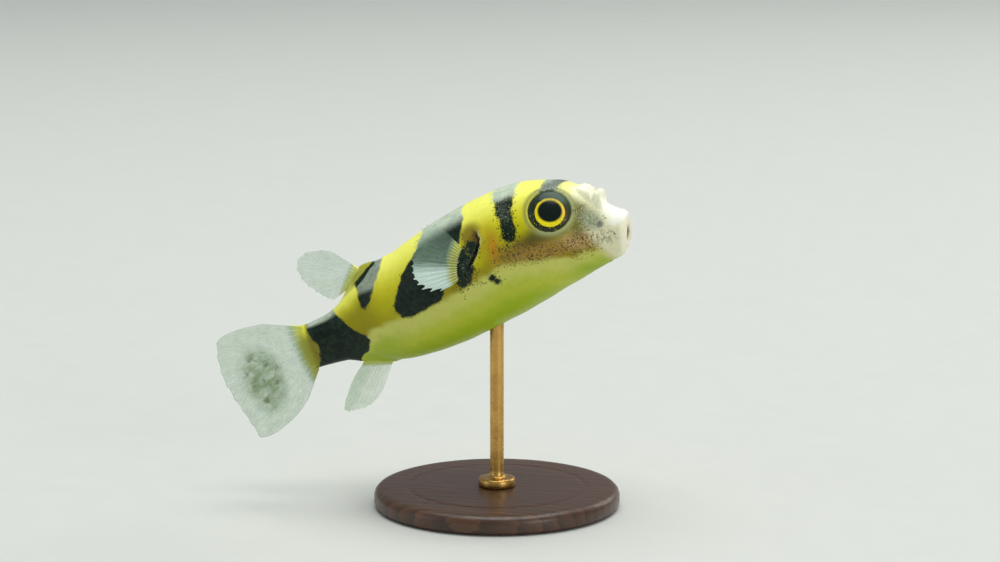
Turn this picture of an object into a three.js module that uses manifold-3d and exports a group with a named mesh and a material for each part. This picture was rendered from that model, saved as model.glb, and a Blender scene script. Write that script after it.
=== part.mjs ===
// Freshwater pufferfish on a plain display stand, life size.
// Millimetres, +Z up, +X towards the snout. The origin is the middle of the stand's underside.
// The fish is laid out in its own frame first: snout at x = 0 with the tail towards -x,
// y to its left, z up. It is then pitched nose up and lifted onto the rod.
import * as THREE from 'three';
import { mergeVertices } from 'three/addons/utils/BufferGeometryUtils.js';
import Module from 'manifold-3d';

// Driving dimensions.
const gap = 0.3;
const pitchDegrees = 21;
const rodStation = 20.5;
const bellyHeight = -5.4;
const rodPoint = 24;
const bendStart = 24;
const bendEnd = 45;
const bendDegrees = -10;
const bodyAround = 36;
const gillStation = 6.06;
const tailStation = 8.66;
const tailEnd = 13;
const lipForward = 1.1;
const lipSlope = -0.319;
const eyeRadius = 3.0;
const eyeDepth = 1.35;
const eyeSink = 0.85;
const eyePoint = [-7.2, -5.04, 6.5];
const eyeAxis = [0.313, -0.86, 0.403];
const finThick = 0.56;
const rodRadius = 0.9;
const rodInside = 3.2;
const flangeRadius = 2.4;
const flangeHeight = 1.2;
const baseRadius = 16;
const baseHeight = 2.6;
const baseBevel = 0.5;

// Sections of the body from the lips to the root of the tail fin. Each is a slanted closed curve.
// Columns: x of the back and its height, x of the belly and its height, half width,
// where the widest line lies from belly to back, and the roundness above and below it.
const sections = [
  [-0.17, 3.46, 1.72, -2.28, 2.55, 0.50, 2.1, 2.1],
  [0.90, 4.45, 3.00, -2.45, 2.95, 0.48, 2.1, 2.1],
  [2.80, 6.60, 5.00, -2.80, 4.00, 0.46, 2.2, 2.1],
  [5.00, 8.74, 7.20, -3.25, 5.10, 0.46, 2.4, 2.1],
  [8.20, 10.20, 10.00, -3.80, 5.95, 0.45, 2.5, 2.1],
  [12.00, 11.00, 13.20, -4.50, 6.50, 0.42, 2.4, 2.15],
  [17.50, 10.80, 18.00, -5.30, 6.85, 0.40, 2.2, 2.2],
  [24.00, 9.70, 24.00, -6.05, 6.70, 0.42, 2.1, 2.2],
  [29.50, 8.15, 29.50, -6.20, 5.80, 0.44, 2.0, 2.2],
  [34.00, 6.70, 34.00, -5.65, 4.30, 0.46, 2.0, 2.1],
  [37.70, 4.80, 37.70, -4.15, 3.00, 0.48, 2.0, 2.0],
  [41.00, 3.35, 41.00, -3.45, 2.20, 0.50, 2.0, 2.0],
  [44.00, 2.90, 44.00, -3.10, 1.70, 0.50, 2.0, 2.0],
  [45.30, 2.90, 45.30, -3.10, 1.20, 0.50, 2.0, 2.0],
];

// The lips roll forward of the first section and turn into the mouth.
// Columns: size against the first section, and distance in front of it.
const lipRolls = [
  [0.38, -2.4],
  [0.40, -0.4],
  [0.42, 0.5],
  [0.53, 0.95],
  [0.72, 1.08],
  [0.88, 0.92],
  [0.97, 0.47],
];

// How much wider the upper lip's roll is than the lower one's, and how far the lower lip falls back.
const lipLean = 0.08;
const lowerLipBack = 0.1;

const wasm = await Module();
wasm.setup();

const radians = THREE.MathUtils.degToRad;
const pitch = radians(pitchDegrees);

// Catmull-Rom blend through the rows, with straight run-outs at both ends.
function blend(rows, t) {
  const clamped = Math.min(Math.max(t, 0), rows.length - 1);
  const i = Math.min(Math.floor(clamped), rows.length - 2);
  const f = clamped - i;
  return rows[i].map((p1, k) => {
    const p2 = rows[i + 1][k];
    const p0 = i > 0 ? rows[i - 1][k] : 2 * p1 - p2;
    const p3 = i < rows.length - 2 ? rows[i + 2][k] : 2 * p2 - p1;
    const square = 2 * p0 - 5 * p1 + 4 * p2 - p3;
    const cube = -p0 + 3 * p1 - 3 * p2 + p3;
    return 0.5 * (2 * p1 + (p2 - p0) * f + square * f * f + cube * f * f * f);
  });
}

// Distance along the body (positive backwards), side and height to a point, with the tail's turn.
function place(back, side, up) {
  const span = bendEnd - bendStart;
  const angle = radians(bendDegrees);
  const u = (back - bendStart) / span;
  if (u <= 0) {
    return new THREE.Vector3(-back, side, up);
  }
  const turn = angle * Math.min(u, 1);
  const over = Math.max(back - bendEnd, 0);
  const mid = bendStart + span * Math.sin(turn) / angle + over * Math.cos(angle);
  const off = span * (1 - Math.cos(turn)) / angle + over * Math.sin(angle);
  return new THREE.Vector3(-(mid - side * Math.sin(turn)), off + side * Math.cos(turn), up);
}

// One closed section; grow moves it outwards all round.
function ring(row, grow = 0, around = bodyAround) {
  const [backX, backZ, bellyX, bellyZ, half, share, top, bottom] = row;
  const midX = bellyX + (backX - bellyX) * share;
  const midZ = bellyZ + (backZ - bellyZ) * share;
  const points = [];
  for (let j = 0; j < around; j += 1) {
    const a = Math.PI / 2 + (j / around) * 2 * Math.PI;
    const c = Math.cos(a);
    const s = Math.sin(a);
    const power = s >= 0 ? top : bottom;
    const across = Math.sign(c) * Math.abs(c) ** (2 / power);
    const rise = Math.abs(s) ** (2 / power);
    const farX = s >= 0 ? backX - midX : bellyX - midX;
    const farZ = s >= 0 ? backZ - midZ : bellyZ - midZ;
    const reach = Math.hypot(farX, farZ) || 1;
    const x = midX + (farX + grow * farX / reach) * rise;
    const z = midZ + (farZ + grow * farZ / reach) * rise;
    points.push(place(x, (half + grow) * across, z));
  }
  return points;
}

// Skins a list of equal rings and closes both ends. Paired rings have an edge point on both sides.
function loft(rings, paired = false) {
  const around = rings[0].length;
  const positions = [];
  const index = [];
  const base = [];
  rings.forEach((points) => {
    base.push(positions.length / 3);
    points.forEach((p) => positions.push(p.x, p.y, p.z));
  });
  const triangle = (a, b, c) => {
    if (a !== b && b !== c && c !== a) {
      index.push(a, b, c);
    }
  };
  for (let i = 0; i + 1 < rings.length; i += 1) {
    for (let j = 0; j < around; j += 1) {
      const k = (j + 1) % around;
      triangle(base[i] + j, base[i + 1] + j, base[i + 1] + k);
      triangle(base[i] + j, base[i + 1] + k, base[i] + k);
    }
  }
  const mate = (j) => (paired ? around - 1 - j : (around - j) % around);
  for (let j = 0; j < around / 2 - (paired ? 1 : 0); j += 1) {
    const first = base[0];
    const last = base[rings.length - 1];
    triangle(first + j, first + j + 1, first + mate(j + 1));
    triangle(first + j, first + mate(j + 1), first + mate(j));
    triangle(last + j, last + mate(j + 1), last + j + 1);
    triangle(last + j, last + mate(j), last + mate(j + 1));
  }
  const geometry = new THREE.BufferGeometry();
  geometry.setAttribute('position', new THREE.Float32BufferAttribute(positions, 3));
  geometry.setIndex(index);
  return outward(geometry);
}

// Turns the faces round when the enclosed volume comes out negative.
function outward(geometry) {
  const p = geometry.getAttribute('position');
  const index = Array.from(geometry.getIndex().array);
  const a = new THREE.Vector3();
  const b = new THREE.Vector3();
  const c = new THREE.Vector3();
  let volume = 0;
  for (let i = 0; i < index.length; i += 3) {
    a.fromBufferAttribute(p, index[i]);
    b.fromBufferAttribute(p, index[i + 1]);
    c.fromBufferAttribute(p, index[i + 2]);
    volume += a.dot(b.cross(c));
  }
  if (volume < 0) {
    for (let i = 0; i < index.length; i += 3) {
      [index[i + 1], index[i + 2]] = [index[i + 2], index[i + 1]];
    }
    geometry.setIndex(index);
  }
  return geometry;
}

// Closed geometry to a solid for joins and cuts, and back.
function solid(geometry, matrix) {
  const copy = geometry.clone();
  copy.deleteAttribute('normal');
  copy.deleteAttribute('uv');
  if (matrix) {
    copy.applyMatrix4(matrix);
  }
  const merged = mergeVertices(copy, 1e-5);
  return new wasm.Manifold(new wasm.Mesh({
    numProp: 3,
    vertProperties: new Float32Array(merged.getAttribute('position').array),
    triVerts: new Uint32Array(merged.getIndex().array),
  }));
}

function shell(body) {
  const mesh = body.getMesh();
  const geometry = new THREE.BufferGeometry();
  geometry.setAttribute('position', new THREE.BufferAttribute(new Float32Array(mesh.vertProperties), 3));
  geometry.setIndex(new THREE.BufferAttribute(new Uint32Array(mesh.triVerts), 1));
  return geometry;
}

// An ellipsoid with its short axis along a direction.
function ellipsoid(centre, axis, flat, wide, around, rings) {
  const ball = new THREE.SphereGeometry(1, around, rings);
  const turn = new THREE.Quaternion().setFromUnitVectors(new THREE.Vector3(0, 1, 0), axis);
  ball.applyMatrix4(new THREE.Matrix4().compose(centre, turn, new THREE.Vector3(wide, flat, wide)));
  return ball;
}

// Stretch of the body between two section numbers.
function stretch(from, to, steps, grow = 0) {
  const rings = [];
  for (let i = 0; i <= steps; i += 1) {
    rings.push(ring(blend(sections, from + (to - from) * i / steps), grow));
  }
  return rings;
}

// Head: the mouth lining, the rolled lips and the skull back to the gill line.
const first = ring(sections[0]);
const lipMiddle = new THREE.Vector3();
first.forEach((p) => lipMiddle.addScaledVector(p, 1 / first.length));
const lipNormal = new THREE.Vector3(1, 0, lipSlope).normalize();
const lipRings = lipRolls.map(([size, ahead]) => {
  const lean = lipLean * Math.exp(-(((size - 0.75) / 0.22) ** 2));
  return first.map((p) => {
    const rise = (p.z - lipMiddle.z) / 2.9;
    const point = p.clone().sub(lipMiddle).multiplyScalar(size + lean * rise).add(lipMiddle);
    const forward = ahead * (1 + lowerLipBack * Math.min(rise, 0));
    return point.addScaledVector(lipNormal, forward * lipForward / 1.1);
  });
});
let head = solid(loft([...lipRings, ...stretch(0, gillStation - 0.03, 13)]));

// Nasal organs: a short fleshy tube on each side, leaning forward.
const nasalPoint = [-2.5, 1.42, 5.75];
const nasalSize = [1.36, 0.76, 1.45];
for (const side of [-1, 1]) {
  const lump = new THREE.SphereGeometry(1, 12, 8);
  lump.rotateX(Math.PI / 2);
  lump.scale(...nasalSize);
  lump.rotateY(radians(8));
  lump.translate(nasalPoint[0], side * nasalPoint[1], nasalPoint[2]);
  head = head.add(solid(lump));
}

// Eyes: flattened balls that stand a little proud of the skin, and their sockets.
const eyes = [];
for (const side of [-1, 1]) {
  const axis = new THREE.Vector3(eyeAxis[0], -side * eyeAxis[1], eyeAxis[2]).normalize();
  const centre = new THREE.Vector3(eyePoint[0], -side * eyePoint[1], eyePoint[2]);
  centre.addScaledVector(axis, -eyeSink);
  eyes.push(ellipsoid(centre, axis, eyeDepth, eyeRadius, 20, 10));
  head = head.subtract(solid(ellipsoid(centre, axis, eyeDepth + gap, eyeRadius + gap, 20, 10)));
}

// Trunk: from the gill line to the vent, with a hole for the rod.
let trunk = solid(loft(stretch(gillStation + 0.03, tailStation - 0.035, 9)));

// Places the fish on its rod: pitched nose up about the belly point.
const upright = new THREE.Vector3(0, 1, 0);
const seat = new THREE.Vector3(rodStation, 0, -bellyHeight).applyAxisAngle(upright, -pitch);
const fish = new THREE.Group();
fish.rotation.y = -pitch;
fish.position.set(seat.x, seat.y, seat.z + rodPoint);
fish.updateMatrixWorld(true);
const intoFish = fish.matrixWorld.clone().invert();
const hole = new THREE.CylinderGeometry(rodRadius + gap, rodRadius + gap, 12, 20);
hole.rotateX(Math.PI / 2);
hole.translate(0, 0, rodPoint + rodInside + gap - 6);
trunk = trunk.subtract(solid(hole, intoFish));

// Tail: the narrowing stem, with the fleshy pads that carry the dorsal and anal fins.
let tail = solid(loft(stretch(tailStation + 0.035, tailEnd, 10)));
const pads = [
  { at: [35.1, 0, 5.95], size: [2.8, 0.95, 2.0], lean: -14 },
  { at: [37.4, 0, -4.0], size: [2.6, 0.8, 1.15], lean: 14 },
];
pads.forEach(({ at, size, lean }) => {
  const pad = new THREE.SphereGeometry(1, 14, 8);
  pad.rotateX(Math.PI / 2);
  pad.scale(...size);
  pad.rotateY(radians(lean));
  const centre = place(at[0], at[1], at[2]);
  pad.translate(centre.x, centre.y, centre.z);
  tail = tail.add(solid(pad));
});

// A fin is a fan of rays from a root line. Rays stand out as low ridges on both faces.
// root: two ends along (distance back, height), bow: how far the root bulges towards the tips,
// fan: directions of the first and last ray in degrees (up is positive), reach: ray lengths.
function fin({ root, bow, fan, reach, rays, rows, thick, frame, inset }) {
  const columns = rays * 2 + 1;
  const rings = [];
  for (let i = 0; i <= rows; i += 1) {
    const u = i / rows;
    const left = [];
    const right = [];
    for (let j = 0; j < columns; j += 1) {
      const v = j / (columns - 1);
      const angle = radians(fan[0] + (fan[1] - fan[0]) * v);
      const out = blend(reach.map((r) => [r]), v * (reach.length - 1))[0];
      const travel = -inset + (out + inset) * u;
      const swell = bow * 4 * v * (1 - v);
      const a = root[0][0] + (root[1][0] - root[0][0]) * v + swell + travel * Math.cos(angle);
      const b = root[0][1] + (root[1][1] - root[0][1]) * v + travel * Math.sin(angle);
      const ridge = j % 2 ? 1 : 0.78;
      const half = 0.5 * ridge * (finThick + (thick - finThick) * (1 - u) ** 1.5);
      left.push(frame(a, b, half));
      right.push(frame(a, b, -half));
    }
    rings.push([...left, ...right.reverse()]);
  }
  return loft(rings, true);
}

// Median fins lie in the bent midplane of the body.
const midplane = (a, b, half) => place(a, half, b);
const finGap = loft(stretch(8, 12.5, 10, gap));
const grown = solid(finGap);
const tailFin = fin({
  root: [[45.65, 2.75], [45.65, -3.35]],
  bow: 0,
  fan: [22, -50],
  reach: [5.4, 11.1, 12.2, 12.45, 12.45, 12.35, 12.35, 12.55, 12.5, 8.9, 4.2],
  rays: 11,
  rows: 6,
  thick: 1.5,
  frame: midplane,
  inset: 0,
});
const padCuts = pads.map(({ at, size, lean }) => {
  const pad = new THREE.SphereGeometry(1, 14, 8);
  pad.rotateX(Math.PI / 2);
  pad.scale(size[0] + gap, size[1] + gap, size[2] + gap);
  pad.rotateY(radians(lean));
  const centre = place(at[0], at[1], at[2]);
  pad.translate(centre.x, centre.y, centre.z);
  return solid(pad);
});
const dorsalFin = solid(fin({
  root: [[35.3, 8.0], [38.5, 5.1]],
  bow: 0,
  fan: [50, -20],
  reach: [4.1, 6.5, 7.7, 7.2, 6.1, 4.8, 3.6, 2.6, 1.7],
  rays: 10,
  rows: 4,
  thick: 1.0,
  frame: midplane,
  inset: 0.5,
})).subtract(padCuts[0]).subtract(grown);
const analFin = solid(fin({
  root: [[35.4, -5.5], [39.3, -4.5]],
  bow: 0,
  fan: [-50, -36],
  reach: [4.2, 6.0, 6.7, 7.1, 7.4, 7.6, 7.2, 5.2, 2.2],
  rays: 9,
  rows: 4,
  thick: 0.9,
  frame: midplane,
  inset: 0.5,
})).subtract(padCuts[1]).subtract(grown);

// Pectoral fins fan back and out from a rounded fleshy root on the flank.
const pectoralTop = new THREE.Vector3(-19.43, 5.92, 6.23);
const pectoralLow = new THREE.Vector3(-21.37, 6.81, 1.82);
const pectoralOut = radians(27);
function pectoral(side) {
  const top = new THREE.Vector3(pectoralTop.x, side * pectoralTop.y, pectoralTop.z);
  const low = new THREE.Vector3(pectoralLow.x, side * pectoralLow.y, pectoralLow.z);
  const down = low.clone().sub(top).normalize();
  const back = new THREE.Vector3(-Math.cos(pectoralOut), side * Math.sin(pectoralOut), 0);
  back.addScaledVector(down, -back.dot(down)).normalize();
  const face = new THREE.Vector3().crossVectors(down, back).multiplyScalar(side);
  const frame = (a, b, half) => {
    const cup = 0.02 * a * a;
    return top.clone().addScaledVector(back, a).addScaledVector(down, b).addScaledVector(face, half + cup);
  };
  const flank = new THREE.BoxGeometry(30, 10, 30);
  const out = new THREE.Vector3(0, side * 0.98, 0.198);
  const foot = new THREE.Vector3(-21, side * 6.565, 4.02).addScaledVector(out, gap - 5);
  const turn = new THREE.Quaternion().setFromUnitVectors(new THREE.Vector3(0, 1, 0), out.normalize());
  flank.applyQuaternion(turn);
  flank.translate(foot.x, foot.y, foot.z);
  return solid(fin({
    root: [[0.2, 0.1], [0.2, 4.9]],
    bow: 0.5,
    fan: [-40, 40],
    reach: [3.8, 5.4, 5.5, 5.6, 5.7, 5.7, 5.5, 4.1, 1.7],
    rays: 13,
    rows: 4,
    thick: 0.9,
    frame,
    inset: 0.4,
  })).subtract(solid(flank));
}

// Beak: a curved tooth plate in the top and bottom of the mouth.
function beak(side) {
  const rings = [];
  for (let i = 0; i <= 8; i += 1) {
    const a = radians(-58 + 116 * i / 8);
    const rise = new THREE.Vector3(-lipSlope, 0, 1).normalize();
    const radial = new THREE.Vector3().addScaledVector(rise, side * Math.cos(a));
    radial.y = Math.sin(a) * 0.92;
    const centre = lipMiddle.clone().addScaledVector(rise, side * 0.12);
    const profile = [[0.74, -1.3], [0.74, -0.45], [0.62, -0.12], [0.38, 0.02], [0.34, -0.2], [0.42, -1.3]];
    rings.push(profile.map(([r, ahead]) => centre.clone()
      .addScaledVector(radial, r)
      .addScaledVector(lipNormal, ahead)));
  }
  return loft(rings, true);
}

function paint(color, roughness, metalness = 0) {
  return new THREE.MeshStandardMaterial({ color, roughness, metalness });
}

const model = new THREE.Group();
model.add(fish);

function piece(name, geometry, material, parent = fish) {
  const mesh = new THREE.Mesh(geometry, material);
  mesh.name = name;
  parent.add(mesh);
  return mesh;
}

piece('head', shell(head), paint(0xb8b465, 0.45));
piece('trunk', shell(trunk), paint(0xc9c23f, 0.45));
piece('tail', shell(tail), paint(0x3a463a, 0.45));
piece('caudal_fin', tailFin, paint(0xc6d6b4, 0.4));
piece('dorsal_fin', shell(dorsalFin), paint(0xd6e0c4, 0.4));
piece('anal_fin', shell(analFin), paint(0xcfdcba, 0.4));
piece('pectoral_fin_right', shell(pectoral(-1)), paint(0xb9cbbf, 0.4));
piece('pectoral_fin_left', shell(pectoral(1)), paint(0xb9cbbf, 0.4));
piece('eye_right', eyes[0], paint(0x1b2a2c, 0.12));
piece('eye_left', eyes[1], paint(0x1b2a2c, 0.12));
piece('beak_upper', beak(1), paint(0xe6dcc0, 0.3));
piece('beak_lower', beak(-1), paint(0xe6dcc0, 0.3));

// Stand: a round turned base and one rod with a foot flange.
const baseProfile = [
  new THREE.Vector2(0, 0),
  new THREE.Vector2(baseRadius - baseBevel, 0),
  new THREE.Vector2(baseRadius, baseBevel),
  new THREE.Vector2(baseRadius, baseHeight - baseBevel),
  new THREE.Vector2(baseRadius - baseBevel, baseHeight),
  new THREE.Vector2(0, baseHeight),
];
const base = new THREE.LatheGeometry(baseProfile, 48);
base.rotateX(Math.PI / 2);
const rodTop = rodPoint + rodInside;
const rodProfile = [
  new THREE.Vector2(0, baseHeight),
  new THREE.Vector2(flangeRadius, baseHeight),
  new THREE.Vector2(flangeRadius, baseHeight + flangeHeight - 0.3),
  new THREE.Vector2(flangeRadius - 0.3, baseHeight + flangeHeight),
  new THREE.Vector2(rodRadius + 0.35, baseHeight + flangeHeight),
  new THREE.Vector2(rodRadius, baseHeight + flangeHeight + 0.35),
  new THREE.Vector2(rodRadius, rodTop - 0.2),
  new THREE.Vector2(rodRadius - 0.2, rodTop),
  new THREE.Vector2(0, rodTop),
];
const rod = new THREE.LatheGeometry(rodProfile, 20);
rod.rotateX(Math.PI / 2);
piece('stand_base', shell(solid(base)), paint(0x4a3324, 0.4), model);
piece('stand_rod', shell(solid(rod)), paint(0xb98d46, 0.3, 1), model);

export default model;
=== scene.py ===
import math

import bpy
import numpy as np
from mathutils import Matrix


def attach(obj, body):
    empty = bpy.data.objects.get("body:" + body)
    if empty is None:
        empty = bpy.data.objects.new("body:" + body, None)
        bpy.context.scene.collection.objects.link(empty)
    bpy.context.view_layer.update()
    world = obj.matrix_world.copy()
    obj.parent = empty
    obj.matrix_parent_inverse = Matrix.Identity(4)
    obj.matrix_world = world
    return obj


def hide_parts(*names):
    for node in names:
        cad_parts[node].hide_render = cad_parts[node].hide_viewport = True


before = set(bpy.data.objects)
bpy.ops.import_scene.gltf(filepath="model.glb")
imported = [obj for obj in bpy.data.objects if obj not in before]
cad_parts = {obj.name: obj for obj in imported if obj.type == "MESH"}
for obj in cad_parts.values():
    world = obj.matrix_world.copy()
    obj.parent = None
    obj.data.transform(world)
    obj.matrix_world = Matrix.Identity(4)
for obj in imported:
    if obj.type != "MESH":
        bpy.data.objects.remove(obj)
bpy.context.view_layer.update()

# The fish is laid out straight and level first, in millimetres: back is the distance behind
# the snout, side is to its left and up is its height. Then it is bent, pitched and lifted.
pose = {
    "bendFrom": 24.0,
    "bendTo": 45.0,
    "bendDegrees": -10.0,
    "pitchDegrees": 21.0,
    "rodStation": 20.5,
    "bellyHeight": -5.4,
    "lift": 24.0,
}


# Smooth curve through rows of numbers: a Catmull-Rom spline of the row number, ends run straight.
def throughRows(rows, t):
    rows = np.asarray(rows, float)
    t = np.clip(np.asarray(t, float), 0, len(rows) - 1)
    i = np.minimum(t.astype(int), len(rows) - 2)
    f = (t - i)[..., None]
    one, two = rows[i], rows[i + 1]
    zero = np.where((i > 0)[..., None], rows[np.maximum(i - 1, 0)], 2 * one - two)
    last = len(rows) - 2
    three = np.where((i < last)[..., None], rows[np.minimum(i + 2, last + 1)], 2 * two - one)
    square = 2 * zero - 5 * one + 4 * two - three
    cube = -zero + 3 * one - 3 * two + three
    return 0.5 * (2 * one + (two - zero) * f + square * f**2 + cube * f**3)


# Broken line through pairs: the second number of a pair where the value equals its first.
def readLine(pairs, value):
    return np.interp(value, *np.array(pairs).T)


# Eased step: 0 below low, 1 above high, 3x^2 - 2x^3 between.
def ease(value, low, high):
    x = np.clip((value - low) / (high - low), 0, 1)
    return x * x * (3 - 2 * x)


# Bell curve of a distance and a width.
def bell(distance, width):
    return np.exp(-((distance / width) ** 2))


# The spine turns at a steady rate between two stations, so its line is an arc of a circle there.
def bendSpine(points):
    back, side, up = points[..., 0], points[..., 1], points[..., 2]
    start, end = pose["bendFrom"], pose["bendTo"]
    span, angle = end - start, math.radians(pose["bendDegrees"])
    u = np.clip((back - start) / span, 0, None)
    turn = angle * np.minimum(u, 1)
    over = np.maximum(back - end, 0)
    mid = np.where(u <= 0, back, start + span * np.sin(turn) / angle + over * math.cos(angle))
    off = span * (1 - np.cos(turn)) / angle + over * math.sin(angle)
    return np.stack([mid - side * np.sin(turn), off + side * np.cos(turn), up], -1)


# Straight fish to the model's own place: bend, then a turn about the rod point, then the lift.
def toModel(points):
    p = bendSpine(np.asarray(points, float))
    x = pose["rodStation"] - p[..., 0]
    z = p[..., 2] - pose["bellyHeight"]
    a = math.radians(pose["pitchDegrees"])
    return np.stack([x * math.cos(a) - z * math.sin(a), p[..., 1],
                     x * math.sin(a) + z * math.cos(a) + pose["lift"]], -1) / 1000


# Linear colour with an alpha of 1 from red, green and blue of 0 to 255, by the standard curve.
def linear(r, g, b):
    c = np.array([r, g, b]) / 255
    c = np.where(c <= 0.04045, c / 12.92, ((c + 0.055) / 1.055) ** 2.4)
    return (float(c[0]), float(c[1]), float(c[2]), 1.0)


def makeMesh(name, points, faces, smooth=True):
    mesh = bpy.data.meshes.new(name)
    mesh.from_pydata(points.reshape(-1, 3).tolist(), [], faces)
    mesh.polygons.foreach_set("use_smooth", [smooth] * len(mesh.polygons))
    mesh.update()
    piece = bpy.data.objects.new(name, mesh)
    bpy.context.collection.objects.link(piece)
    return piece


def addAttribute(piece, name, values):
    layer = piece.data.attributes.new(name, "FLOAT", "POINT")
    layer.data.foreach_set("value", np.asarray(values, np.float32).ravel())


def addColour(piece, name, colours):
    layer = piece.data.attributes.new(name, "FLOAT_COLOR", "POINT")
    solid = np.concatenate([colours, np.ones(colours.shape[:-1] + (1,))], -1)
    layer.data.foreach_set("color", solid.astype(np.float32).ravel())


# Coats of colour over a ground tone: each gives what lies below times (1 - mask) plus its own
# colour times the mask.
def paint(size, ground, coats):
    tone = np.broadcast_to(np.array(linear(*ground)[:3]), size + (3,))
    for colour, mask in coats:
        tone = tone * (1 - mask[..., None]) + np.array(linear(*colour)[:3]) * mask[..., None]
    return tone


# Share of an oval's radius at which each point lies: 0 at its middle, 1 on its edge.
def ovalShare(x, y, centre, size, lean=0.0):
    a = math.radians(lean)
    u = (x - centre[0]) * math.cos(a) + (y - centre[1]) * math.sin(a)
    v = -(x - centre[0]) * math.sin(a) + (y - centre[1]) * math.cos(a)
    return np.hypot(u / size[0], v / size[1])


# Turns all faces round if the closed mesh holds a negative volume, the sum of a . (b x c).
def faceOutwards(piece):
    mesh = piece.data
    places = np.empty(len(mesh.vertices) * 3)
    mesh.vertices.foreach_get("co", places)
    mesh.calc_loop_triangles()
    corners = np.empty(len(mesh.loop_triangles) * 3, int)
    mesh.loop_triangles.foreach_get("vertices", corners)
    a, b, c = places.reshape(-1, 3)[corners.reshape(-1, 3)].transpose(1, 0, 2)
    if np.einsum("ij,ij->i", a, np.cross(b, c)).sum() < 0:
        mesh.flip_normals()
        mesh.update()


# Faces of a grid whose columns close into a ring: each row joins the next one.
def ringFaces(rows, columns, flip=False):
    i, j = np.meshgrid(np.arange(rows - 1), np.arange(columns), indexing="ij")
    k = (j + 1) % columns
    here, ahead = i * columns, (i + 1) * columns
    quad = np.stack([here + j, here + k, ahead + k, ahead + j], -1).reshape(-1, 4)
    return (quad[:, ::-1] if flip else quad).tolist()


# Fans of triangles that close the first and last ring of a grid onto two points added after it.
def poleFaces(rows, columns):
    faces = []
    last = (rows - 1) * columns
    for j in range(columns):
        k = (j + 1) % columns
        faces.append([k, j, rows * columns])
        faces.append([last + j, last + k, rows * columns + 1])
    return faces


# Closes a flat ring by bars from each point to its mate across. Mates stand equally far from
# column 0 or, when paired, from the gap between the last column and the first.
def barFaces(start, columns, flip=False, paired=False):
    faces = []
    for j in range(columns // 2 - (1 if paired else 0)):
        mateA = columns - 1 - j if paired else (columns - j) % columns
        mateB = columns - 2 - j if paired else columns - j - 1
        corners = []
        for c in (j, j + 1, mateB, mateA):
            if start + c not in corners:
                corners.append(start + c)
        faces.append(corners[::-1] if flip else corners)
    return faces


def addNode(tree, kind, **settings):
    made = tree.nodes.new(kind)
    for name, value in settings.items():
        setattr(made, name, value)
    return made


def feed(tree, socket, value):
    if isinstance(value, bpy.types.NodeSocket):
        tree.links.new(value, socket)
    else:
        socket.default_value = value


def calc(tree, operation, a, b=0.0, c=0.0, clamp=False):
    made = addNode(tree, "ShaderNodeMath", operation=operation, use_clamp=clamp)
    for socket, value in zip(made.inputs, (a, b, c)):
        feed(tree, socket, value)
    return made.outputs[0]


# Product of two values, plus a third where one is given.
def times(tree, a, b, plus=None, clamp=False):
    if plus is None:
        return calc(tree, "MULTIPLY", a, b, clamp=clamp)
    return calc(tree, "MULTIPLY_ADD", a, b, plus, clamp)


# Eased step of a value between low and high, from start to stop.
def window(tree, value, low, high, start=0.0, stop=1.0):
    made = addNode(tree, "ShaderNodeMapRange", interpolation_type="SMOOTHSTEP")
    for label, v in (("Value", value), ("From Min", low), ("From Max", high),
                     ("To Min", start), ("To Max", stop)):
        feed(tree, made.inputs[label], v)
    return made.outputs["Result"]


# Mixes two colours. One given as three numbers from 0 to 255 is made linear first.
def mixColour(tree, factor, a, b, blend="MIX"):
    made = addNode(tree, "ShaderNodeMix", data_type="RGBA", blend_type=blend)
    for index, value in ((0, factor), (6, a), (7, b)):
        isTriple = isinstance(value, tuple) and len(value) == 3
        feed(tree, made.inputs[index], linear(*value) if isTriple else value)
    return made.outputs[2]


def noise(tree, coordinates, scale, detail=2.0, roughness=0.5):
    made = addNode(tree, "ShaderNodeTexNoise")
    for label, v in (("Vector", coordinates), ("Scale", scale),
                     ("Detail", detail), ("Roughness", roughness)):
        feed(tree, made.inputs[label], v)
    return made.outputs["Fac"]


# Noise that swings from -0.5 to 0.5.
def wobble(tree, coordinates, scale, detail, roughness):
    return calc(tree, "SUBTRACT", noise(tree, coordinates, scale, detail, roughness), 0.5)


# A value or colour that the mesh carries at each of its points.
def own(tree, name, output="Fac"):
    return addNode(tree, "ShaderNodeAttribute", attribute_name=name).outputs[output]


# Object coordinates stretched so that one unit is one millimetre along each axis.
def millimetres(tree, stretch=(1.0, 1.0, 1.0), turn=(0.0, 0.0, 0.0)):
    place = addNode(tree, "ShaderNodeTexCoord")
    mapping = addNode(tree, "ShaderNodeMapping")
    mapping.inputs["Scale"].default_value = [1000 * s for s in stretch]
    mapping.inputs["Rotation"].default_value = turn
    tree.links.new(place.outputs["Object"], mapping.inputs["Vector"])
    return mapping.outputs["Vector"]


def newMaterial(name, plainColour, constants):
    material = bpy.data.materials.new(name)
    material.use_nodes = True
    material.diffuse_color = linear(*plainColour)
    tree = material.node_tree
    shader = next(n for n in tree.nodes if n.type == "BSDF_PRINCIPLED")
    for label, value in constants.items():
        shader.inputs[label].default_value = value
    return material, tree, shader


# Joins colour and roughness to a shader, and a height through a Bump node of a distance in metres.
def joinShader(tree, shader, colour, roughness, height, strength, distance):
    bump = addNode(tree, "ShaderNodeBump")
    bump.inputs["Strength"].default_value = strength
    bump.inputs["Distance"].default_value = distance
    tree.links.new(height, bump.inputs["Height"])
    tree.links.new(bump.outputs["Normal"], shader.inputs["Normal"])
    tree.links.new(colour, shader.inputs["Base Color"])
    tree.links.new(roughness, shader.inputs["Roughness"])


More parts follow.
